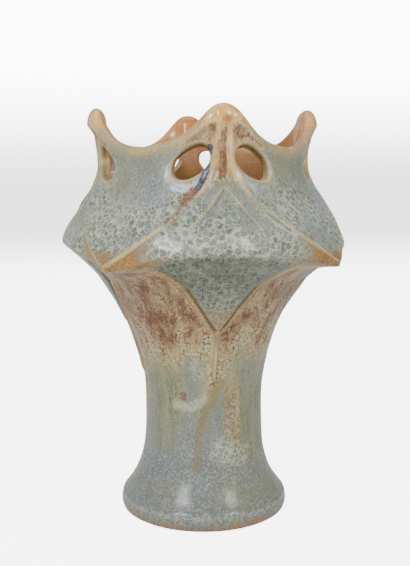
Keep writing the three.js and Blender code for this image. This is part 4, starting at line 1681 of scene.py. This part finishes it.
class Tree:
    """One node tree with short ways to add and join its nodes."""

    def __init__(self, tree: bpy.types.NodeTree) -> None:
        """Keeps the tree that nodes are added to."""
        self.tree = tree

    def add(self, kind: str, **settings: object) -> bpy.types.Node:
        """Adds a node.

        Args:
            kind: its type.
            settings: its settings.

        Returns:
            The node.
        """
        node = self.tree.nodes.new(kind)
        for name, value in settings.items():
            setattr(node, name, value)
        return node

    def feed(self, socket: Wire, source: object) -> None:
        """Joins a socket to another one, or sets its constant.

        Args:
            socket: the socket.
            source: what it takes.
        """
        if isinstance(source, Wire):
            self.tree.links.new(source, socket)
        else:
            socket.default_value = source

    def feed_all(self, node: bpy.types.Node, *sources: object, **named: object) -> bpy.types.Node:
        """Feeds a node's first inputs in their order and others by name, and returns it.

        Args:
            node: the node.
            sources: what its first inputs take.
            named: what the inputs with these names take.

        Returns:
            The node.
        """
        for socket, source in zip(node.inputs, sources):
            self.feed(socket, source)
        for name, source in named.items():
            self.feed(node.inputs[name.replace("_", " ")], source)
        return node

    def give(self, **sources: object) -> None:
        """Feeds the effect's own outputs by name."""
        self.feed_all(self.tree.nodes["out"], **sources)

    def math(self, operation: str, *sources: object, hold: bool = False) -> Wire:
        """Returns the result of one sum on its sources."""
        node = self.add("ShaderNodeMath", operation=operation, use_clamp=hold)
        return self.feed_all(node, *sources).outputs[0]

    def times(self, first: object, second: object, hold: bool = False) -> Wire:
        """Returns one value times another."""
        return self.math("MULTIPLY", first, second, hold=hold)

    def line(self, value: object, slope: object, start: object, hold: bool = False) -> Wire:
        """Returns a value times a slope, plus a start."""
        return self.math("MULTIPLY_ADD", value, slope, start, hold=hold)

    def stir(self, mask: object, grain: object, amount: object) -> Wire:
        """Returns a mask moved up and down by an amount of a grain."""
        return self.line(self.math("SUBTRACT", grain, 0.5), amount, mask)

    def vector(self, operation: str, *sources: object) -> bpy.types.Node:
        """Returns the node of one vector sum on its sources."""
        return self.feed_all(self.add("ShaderNodeVectorMath", operation=operation), *sources)

    def step(self, value: object, low: object, high: object) -> Wire:
        """Returns a soft step from 0 to 1 between two values."""
        node = self.add("ShaderNodeMapRange", interpolation_type="SMOOTHSTEP")
        return self.feed_all(node, value, low, high).outputs[0]

    def blend(self, factor: object, first: object, second: object, way: str = "MIX") -> Wire:
        """Blends two colours.

        Args:
            factor: share of the second.
            first: first colour.
            second: second colour.
            way: Blender's name for how.

        Returns:
            The colour.
        """
        node = self.add("ShaderNodeMix", data_type="RGBA", blend_type=way)
        for socket, source in zip((node.inputs[0], node.inputs[6], node.inputs[7]), (factor, first, second)):
            self.feed(socket, source)
        return node.outputs[2]

    def lay(self, under: object, mask: object, share: float, paint: Paint) -> Wire:
        """Returns a colour with a paint laid over it by a share of a mask."""
        return self.blend(self.times(mask, share), under, tone(*paint))

    def varied(self, mask: object, first: Paint, second: Paint) -> Wire:
        """Returns two paints blended by a mask."""
        return self.blend(mask, tone(*first), tone(*second))

    def call(self, effect: bpy.types.NodeTree, **sources: object) -> bpy.types.Node:
        """Adds a shared effect and returns its node with its inputs fed."""
        return self.feed_all(self.add("ShaderNodeGroup", node_tree=effect), **sources)


def new_effect(name: str, inputs: dict[str, tuple[Socket, object]], outputs: dict[str, Socket]) -> Tree:
    """Starts a shared effect.

    Args:
        name: its name.
        inputs: name, kind and first value of each input.
        outputs: name and kind of each output.

    Returns:
        The effect's tree, with nodes named in and out.
    """
    tree = bpy.data.node_groups.new(name, "ShaderNodeTree")
    for label, (kind, value) in inputs.items():
        socket = tree.interface.new_socket(label, in_out="INPUT", socket_type=kind.value)
        if value is not None:
            socket.default_value = value
    for label, kind in outputs.items():
        tree.interface.new_socket(label, in_out="OUTPUT", socket_type=kind.value)
    made = Tree(tree)
    made.add("NodeGroupInput", name="in")
    made.add("NodeGroupOutput", name="out")
    return made


class GlazeEffects:
    """Effects that all the glazes share, each built once."""

    def __init__(self) -> None:
        """Builds the effects in the order in which they use each other."""
        self.mottle = self.build_mottle()
        self.net = self.build_net()
        self.blot = self.build_blot()
        self.glaze = self.build_glaze()

    def build_mottle(self) -> bpy.types.NodeTree:
        """Builds soft patches, which a stretch turns into runs and a large scale into specks.

        Returns:
            The effect.
        """
        made = new_effect(
            "mottle",
            {
                "Place": (Socket.VECTOR, None),
                "Scale": (Socket.VALUE, 50.0),
                "Stretch": (Socket.VALUE, 1.0),
                "Low": (Socket.VALUE, 0.4),
                "High": (Socket.VALUE, 0.6),
            },
            {"Mask": Socket.VALUE},
        )
        source = made.tree.nodes["in"].outputs
        spread = made.feed_all(made.add("ShaderNodeCombineXYZ"), 1.0, 1.0, source["Stretch"])
        scaled = made.vector("MULTIPLY", source["Place"], spread.outputs[0])
        cloud = made.add("ShaderNodeTexNoise")
        made.feed_all(cloud, Vector=scaled.outputs[0], Scale=source["Scale"], Detail=3.0, Roughness=0.6)
        made.give(Mask=made.step(cloud.outputs[0], source["Low"], source["High"]))
        return made.tree

    def build_net(self) -> bpy.types.NodeTree:
        """Builds round cells with an outline, as a crawling glaze draws them.

        Returns:
            The effect.
        """
        made = new_effect(
            "net",
            {"Place": (Socket.VECTOR, None), "Scale": (Socket.VALUE, 285.0), "Width": (Socket.VALUE, 0.2)},
            {"Outline": Socket.VALUE, "Cell": Socket.VALUE},
        )
        source = made.tree.nodes["in"].outputs
        warp = made.feed_all(made.add("ShaderNodeTexNoise"), Vector=source["Place"], Scale=420.0, Detail=1.0)
        bend = (0.0028, 0.0028, 0.0028)  # metres by which a cell's outline wanders
        shift = made.vector("MULTIPLY_ADD", warp.outputs["Color"], bend, source["Place"])
        edges = made.add("ShaderNodeTexVoronoi", feature="DISTANCE_TO_EDGE")
        cells = made.add("ShaderNodeTexVoronoi", feature="F1")
        for node in (edges, cells):
            made.feed_all(node, Vector=shift.outputs[0], Scale=source["Scale"], Randomness=0.85)
        line = made.step(edges.outputs["Distance"], source["Width"], 0.0)
        corner = made.step(cells.outputs["Distance"], 0.52, 0.76)
        outline = made.math("MAXIMUM", line, made.times(corner, 0.8))
        split = made.feed_all(made.add("ShaderNodeSeparateColor"), cells.outputs["Color"])
        made.give(Outline=outline, Cell=split.outputs[0])
        return made.tree

    def build_blot(self) -> bpy.types.NodeTree:
        """Builds a torn blot along a line between two places.

        Returns:
            The effect.
        """
        inputs = {name: (Socket.VECTOR, None) for name in ("Place", "Start", "End")}
        inputs |= {name: (Socket.VALUE, 0.5) for name in ("Radius", "Grain", "Tear")}
        made = new_effect("blot", inputs, {"Mask": Socket.VALUE})
        source = made.tree.nodes["in"].outputs
        out = made.vector("SUBTRACT", source["Place"], source["Start"]).outputs[0]
        line = made.vector("SUBTRACT", source["End"], source["Start"]).outputs[0]
        reach = made.vector("DOT_PRODUCT", out, line).outputs["Value"]
        length = made.vector("DOT_PRODUCT", line, line).outputs["Value"]
        along = made.math("DIVIDE", reach, length, hold=True)
        scaled = made.feed_all(made.vector("SCALE", line), Scale=along)
        away = made.vector("DISTANCE", out, scaled.outputs[0]).outputs["Value"]
        share = made.stir(made.math("DIVIDE", away, source["Radius"]), source["Grain"], source["Tear"])
        full = made.math("SUBTRACT", 0.95, made.times(source["Tear"], 0.5))
        made.give(Mask=made.step(share, 1.3, full))
        return made.tree

    def build_glaze(self) -> bpy.types.NodeTree:
        """Builds the whole glaze from the masks of the clay.

        Returns:
            The effect.
        """
        inputs = {"Place": (Socket.VECTOR, None)}
        inputs |= {mask.value.capitalize(): (Socket.VALUE, 0.0) for mask in Mask}
        outputs = {"Color": Socket.COLOR} | {name: Socket.VALUE for name in ("Roughness", "Coat", "Relief")}
        made = new_effect("glaze", inputs, outputs)
        Coats(made, self).lay_all()
        return made.tree


class Coats:
    """Coats of the glaze, laid over each other in the shared effect, and the grains that break them up."""

    def __init__(self, made: Tree, effects: GlazeEffects) -> None:
        """Builds the grains.

        Args:
            made: the effect's tree.
            effects: the effects built before it.
        """
        self.made = made
        self.effects = effects
        self.source = made.tree.nodes["in"].outputs
        self.place = self.source["Place"]
        self.cloud = self.patches(16.0, 0.8, 0.36, 0.64)
        self.drift = self.patches(38.0, 0.7, 0.38, 0.62)
        self.run = self.patches(48.0, 0.2, 0.36, 0.66)
        self.thin_run = self.patches(150.0, 0.16, 0.38, 0.66)
        self.speck = self.patches(620.0, 0.8, 0.42, 0.6)
        self.fleck = self.patches(360.0, 0.6, 0.5, 0.62)
        self.grain = self.patches(1500.0, 1.0, 0.35, 0.65)
        self.net = made.call(effects.net, Place=self.place, Scale=240.0, Width=0.15).outputs
        self.edge = made.line(self.drift, 0.5, made.times(self.speck, 0.5))

    def patches(self, scale: float, stretch: float, low: float, high: float) -> Wire:
        """Returns a mask of patches."""
        settings = {"Scale": scale, "Stretch": stretch, "Low": low, "High": high}
        return self.made.call(self.effects.mottle, Place=self.place, **settings).outputs[0]

    def torn(self, mask: object, grain: object, amount: float) -> Wire:
        """Returns a mask whose edge is broken up by a grain."""
        spread = self.made.times(self.made.times(mask, 4.0, hold=True), amount)
        return self.made.step(self.made.stir(mask, grain, spread), 0.1, 0.9)

    def ground(self) -> Wire:
        """Lays the grey-blue glaze with its specks and its green runs.

        Returns:
            The colour.
        """
        made = self.made
        color = made.varied(self.cloud, (140, 149, 158), (150, 157, 142))
        color = made.lay(color, self.patches(70.0, 0.7, 0.3, 0.75), 0.45, (158, 158, 138))
        color = made.lay(color, self.speck, 0.65, (84, 90, 80))
        color = made.lay(color, self.patches(760.0, 0.8, 0.52, 0.64), 0.6, (196, 200, 192))
        olive = made.times(self.source["Olive"], made.line(self.run, 0.6, 0.4))
        green = made.varied(self.thin_run, (102, 104, 72), (148, 148, 110))
        green = made.lay(green, self.speck, 0.4, (190, 186, 148))
        return made.blend(olive, color, green)

    def crawled(self, color: Wire) -> tuple[Wire, Wire]:
        """Lays dark cells with light outlines.

        Args:
            color: colour so far.

        Returns:
            The colour and the mask of the cells.
        """
        made, outline = self.made, self.net["Outline"]
        dark = made.varied(self.net["Cell"], (84, 92, 72), (132, 141, 136))
        dark = made.lay(dark, self.speck, 0.4, (160, 166, 148))
        # Outlines are stronger under the pale mask and fainter under the painted shade.
        faint = made.line(self.source["Pale"], 0.4, made.line(self.source["Deep"], -0.08, 0.7))
        mesh = made.times(outline, made.times(faint, made.line(self.drift, 0.4, 0.6)))
        spots = made.blend(mesh, dark, tone(214, 218, 194))
        cells = made.step(made.stir(self.source["Cells"], self.drift, 0.6), 0.25, 0.85)
        color = made.blend(cells, color, spots)
        # The pale mask lightens the outlines most, partly as a painted highlight.
        bright = made.times(self.source["Pale"], made.line(outline, 0.8, 0.1))
        return made.blend(bright, color, tone(230, 230, 208)), cells

    def bared(self, color: Wire) -> Wire:
        """Lays ochre where the glaze is thin, and the light clay of the horns.

        Args:
            color: colour so far.

        Returns:
            The colour.
        """
        made = self.made
        warm = made.varied(self.edge, (120, 84, 46), (186, 148, 92))
        color = made.blend(self.torn(self.source["Ochre"], self.edge, 0.6), color, warm)
        clay = made.varied(self.cloud, (252, 178, 98), (253, 206, 134))
        clay = made.lay(clay, self.patches(130.0, 0.25, 0.46, 0.6), 0.85, (168, 88, 54))
        clay = made.lay(clay, self.patches(430.0, 0.4, 0.56, 0.64), 0.7, (128, 84, 52))
        return made.blend(self.torn(self.source["Horn"], self.edge, 0.5), color, clay)

    def rusted(self, color: Wire) -> tuple[Wire, Wire]:
        """Lays red-brown with a cream edge.

        Args:
            color: colour so far.

        Returns:
            The colour and the mask of the red-brown.
        """
        made, mask = self.made, self.source["Rust"]
        zone = made.step(made.stir(mask, self.run, 0.3), 0.05, 0.5)
        zone = made.times(zone, made.step(mask, 0.0, 0.1))
        cream = made.varied(self.speck, (216, 202, 156), (134, 116, 74))
        color = made.blend(made.times(zone, 0.85), color, cream)
        spread = made.stir(made.stir(mask, self.run, 0.55), self.speck, 0.45)
        rust = made.times(made.step(spread, 0.3, 0.85), zone)
        red = made.varied(self.fleck, (112, 76, 56), (156, 113, 84))
        red = made.blend(made.times(self.thin_run, made.times(self.speck, 0.9)), red, tone(214, 190, 140))
        return made.blend(rust, color, red), rust

    def lined(self, color: Wire) -> Wire:
        """Lays the painted shade, the light crests with their painted highlight, the dark lines with their
        painted shadow, and the lining.

        Args:
            color: colour so far.

        Returns:
            The colour.
        """
        made = self.made
        height = made.feed_all(made.add("ShaderNodeSeparateXYZ"), self.place)
        # The lining is painted lighter high up and darker lower down: painted light and shade.
        lit = made.varied(self.cloud, (200, 128, 74), (222, 160, 104))
        shaded = made.varied(self.drift, (152, 114, 84), (180, 140, 104))
        lining = made.blend(made.step(height.outputs["Z"], 0.262, 0.292), shaded, lit)
        # Painted shade, multiplied in.
        color = made.blend(made.times(self.source["Deep"], 0.58), color, tone(150, 152, 126), "MULTIPLY")
        # Light crests, partly a painted highlight.
        crest = made.times(self.source["Crest"], made.line(self.edge, 0.7, 0.4), hold=True)
        color = made.blend(crest, color, tone(228, 206, 158))
        # Dark lines, partly painted shadow.
        color = made.lay(color, self.source["Line"], 0.8, (60, 54, 34))
        return made.blend(self.source["Inside"], color, lining)

    def marked(self, color: Wire) -> tuple[Wire, Wire]:
        """Lays the marks over the other coats.

        Args:
            color: colour so far.

        Returns:
            The colour and the height of the raised marks.
        """
        made, lumps = self.made, 0.0
        for mark in MARKS:
            mask = 0.0
            for start, end in zip(mark.points, mark.points[1:]):
                ends = {"Start": tuple(c * MM for c in start), "End": tuple(c * MM for c in end)}
                more = {"Radius": mark.radius * MM, "Grain": self.edge, "Tear": mark.tear}
                blot = made.call(self.effects.blot, Place=self.place, **more, **ends)
                mask = made.math("MAXIMUM", blot.outputs[0], mask)
            if mark.raised:
                lumps = made.line(mask, mark.raised, lumps)
            share = made.times(mask, made.line(self.speck, -0.35, mark.strength + 0.1), hold=True)
            color = made.blend(share, color, tone(*mark.color))
        return color, lumps

    def lay_all(self) -> None:
        """Lays every coat and joins colour, roughness, coat and relief to the effect's outputs."""
        made = self.made
        color, cells = self.crawled(self.ground())
        color, rust = self.rusted(self.bared(color))
        color, lumps = self.marked(self.lined(color))
        vivid = made.feed_all(made.add("ShaderNodeHueSaturation"), Saturation=1.14, Color=color)
        rough = made.line(rust, 0.14, made.line(self.speck, 0.14, 0.26))
        shine = made.line(self.torn(self.source["Horn"], self.drift, 0.5), 0.6, 0.4)
        shine = made.line(rust, -0.25, shine, hold=True)
        relief = made.times(self.net["Outline"], made.times(cells, 0.9))
        for grain, share in ((self.speck, 0.35), (self.grain, 0.12), (self.drift, 0.6)):
            relief = made.line(grain, share, relief)
        relief = made.math("ADD", relief, lumps)
        made.give(Color=vivid.outputs[0], Roughness=rough, Coat=shine, Relief=relief)


@dataclass(frozen=True)
class Glaze:
    """One glaze of the vase: how clear its coat is, and how far its relief stands up in metres."""

    name: str
    slot: Slot
    coat_roughness: float = 0.1
    relief: float = 0.0006
    coat_bend: float = 1.5

    def make(self, effects: GlazeEffects) -> bpy.types.Material:
        """Returns the glaze as a material.

        Args:
            effects: the shared effects.

        Returns:
            The material.
        """
        material = bpy.data.materials.new(self.name)
        material.use_nodes = True
        tree = Tree(material.node_tree)
        shader = material.node_tree.nodes["Principled BSDF"]
        place = tree.add("ShaderNodeTexCoord").outputs["Object"]
        masks = {
            mask.value.capitalize(): tree.add("ShaderNodeAttribute", attribute_name=mask.value).outputs["Fac"]
            for mask in Mask
        }
        glaze = tree.call(effects.glaze, Place=place, **masks)
        for name, output in (("Base Color", "Color"), ("Roughness", "Roughness"), ("Coat Weight", "Coat")):
            tree.feed(shader.inputs[name], glaze.outputs[output])
        shader.inputs["Coat Roughness"].default_value = self.coat_roughness
        shader.inputs["Coat IOR"].default_value = self.coat_bend
        bump = tree.add("ShaderNodeBump")
        tree.feed(bump.inputs["Height"], glaze.outputs["Relief"])
        bump.inputs["Distance"].default_value = self.relief
        tree.feed(shader.inputs["Normal"], bump.outputs["Normal"])
        return material


GLAZES = (
    Glaze("vase_stem_glaze", Slot.STEM, coat_roughness=0.17, relief=0.001),
    Glaze("vase_collar_glaze", Slot.COLLAR, coat_roughness=0.2, relief=0.0008),
    Glaze("vase_petal_glaze", Slot.PETAL),
    Glaze("vase_horn_glaze", Slot.HORN, coat_roughness=0.22, relief=0.0003, coat_bend=1.75),
)


@dataclass(frozen=True)
class SoftBox:
    """One soft light: where it stands, what it points at, its size in metres and its watts."""

    name: str
    place: Place
    aim: Place
    size: tuple[float, float]
    power: float


SOFT_BOXES = (
    SoftBox("left_box", (-1.05, -1.1, 1.15), (0, 0, 0.16), (0.52, 0.6), 23),
    SoftBox("right_box", (0.9, -1.25, 1.2), (0, 0, 0.16), (0.46, 0.56), 15),
    SoftBox("top_box", (-0.1, 0.1, 1.7), (0, 0, 0.1), (1.2, 1.2), 7),
)


@dataclass(frozen=True)
class Studio:
    """A pale floor and backdrop, soft light and the camera, in metres and degrees."""

    floor_half_width: float = 4.0
    floor_front: float = -2.0
    floor_path: float = 7.0  # from its front edge to the top of the backdrop
    bend_start: float = 1.1
    bend_radius: float = 0.9
    floor_drop: float = 0.0004  # below the vase, so that the two don't share a plane
    camera_distance: float = 0.6563
    camera_aside: float = 0.00094
    camera_height: float = 0.2607
    camera_turn: float = -9.5
    camera_tilt: float = 7.72
    focal_pixels: float = 879.5
    frame_pixels: int = 566
    sensor: float = 36.0  # millimetres

    def paper(self) -> bpy.types.Material:
        """Makes the white paper of the set, which looks brighter than the light it throws.

        Returns:
            The material.
        """
        material = bpy.data.materials.new("paper")
        material.use_nodes = True
        tree = Tree(material.node_tree)
        shader = material.node_tree.nodes["Principled BSDF"]
        shader.inputs["Base Color"].default_value = (0.86, 0.86, 0.86, 1)
        shader.inputs["Roughness"].default_value = 0.6
        shader.inputs["Emission Color"].default_value = (1, 1, 1, 1)
        seen = tree.add("ShaderNodeLightPath").outputs["Is Camera Ray"]
        place = tree.add("ShaderNodeTexCoord").outputs["Object"]
        height = tree.feed_all(tree.add("ShaderNodeSeparateXYZ"), place).outputs["Z"]
        # Camera-only glow, brightest high on the backdrop and dimmest low on it: painted light.
        glow = tree.line(tree.step(height, 0.2, 0.6), 9.0, 5.6)
        glow = tree.line(tree.step(height, 0.002, 0.1), -3.4, glow)
        tree.feed(shader.inputs["Emission Strength"], tree.line(seen, glow, 0.12))
        return material

    def build_set(self) -> None:
        """Builds the floor that curves up into a backdrop."""
        bm = bmesh.new()
        bmesh.ops.create_grid(bm, x_segments=8, y_segments=60, size=1.0)
        for v in bm.verts:
            path = self.floor_front + (v.co.y + 1) / 2 * self.floor_path
            bend = max(0.0, path - self.bend_start)
            a = min(bend / self.bend_radius, math.pi / 2)
            rise = self.bend_radius * (1 - math.cos(a)) + max(0.0, bend - self.bend_radius * math.pi / 2)
            y = min(path, self.bend_start) + self.bend_radius * math.sin(a)
            v.co = Vector((v.co.x * self.floor_half_width, y, rise - self.floor_drop))
        backdrop = new_object("backdrop", bm)
        backdrop.data.materials.append(self.paper())

    def build_lights(self) -> None:
        """Builds two soft boxes, a top light and an even surround."""
        for box in SOFT_BOXES:
            data = bpy.data.lights.new(box.name, "AREA")
            data.shape = "RECTANGLE"
            data.size, data.size_y = box.size
            data.energy = box.power
            lamp = bpy.data.objects.new(box.name, data)
            lamp.location = box.place
            lamp.rotation_euler = (Vector(box.aim) - Vector(box.place)).to_track_quat("-Z", "Y").to_euler()
            bpy.context.scene.collection.objects.link(lamp)
        world = bpy.data.worlds.new("surround")
        world.use_nodes = True
        background = world.node_tree.nodes["Background"]
        background.inputs["Color"].default_value = (0.9, 0.93, 1.0, 1)
        background.inputs["Strength"].default_value = 0.26
        bpy.context.scene.world = world

    def build_camera(self) -> None:
        """Builds the camera where the photograph was taken from."""
        data = bpy.data.cameras.new("camera")
        data.sensor_width = self.sensor
        data.lens = self.focal_pixels / self.frame_pixels * self.sensor
        data.clip_start, data.clip_end = 0.01, 50
        camera = bpy.data.objects.new("camera", data)
        turn = math.radians(self.camera_turn)
        side = Vector((math.cos(turn), math.sin(turn), 0))
        back = Vector((math.sin(turn), -math.cos(turn), 0))
        aside = back * self.camera_distance + side * self.camera_aside
        camera.location = aside + Vector((0, 0, self.camera_height))
        camera.rotation_euler = Euler((math.pi / 2 - math.radians(self.camera_tilt), 0, turn), "XYZ")
        bpy.context.scene.collection.objects.link(camera)
        bpy.context.scene.camera = camera


def main() -> None:
    """Builds the studio and every member of the vase, and reports each piece."""
    logging.basicConfig(level=logging.INFO, format="%(message)s")
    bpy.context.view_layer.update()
    studio = Studio()
    studio.build_camera()
    studio.build_set()
    studio.build_lights()
    form, grid = VaseForm(), Grid()
    parts = (ThrownBody(form, grid), Crown(form, grid), Shoulder(form, grid))
    skin = Skin(form)
    for part in parts:
        for patch in part.patches():
            skin.add(patch)
    skin.close()
    effects = GlazeEffects()
    glazes = {glaze.slot: glaze.make(effects) for glaze in GLAZES}
    kinds = [(kind, part) for part in parts for kind in part.kinds]
    for kind, part in sorted(kinds, key=lambda pair: pair[0].member):
        for thing in part.dress(skin, kind, glazes[kind.slot]):
            LOG.info("%s: %d faces", thing.name, len(thing.data.polygons))


if __name__ == "__main__":
    main()
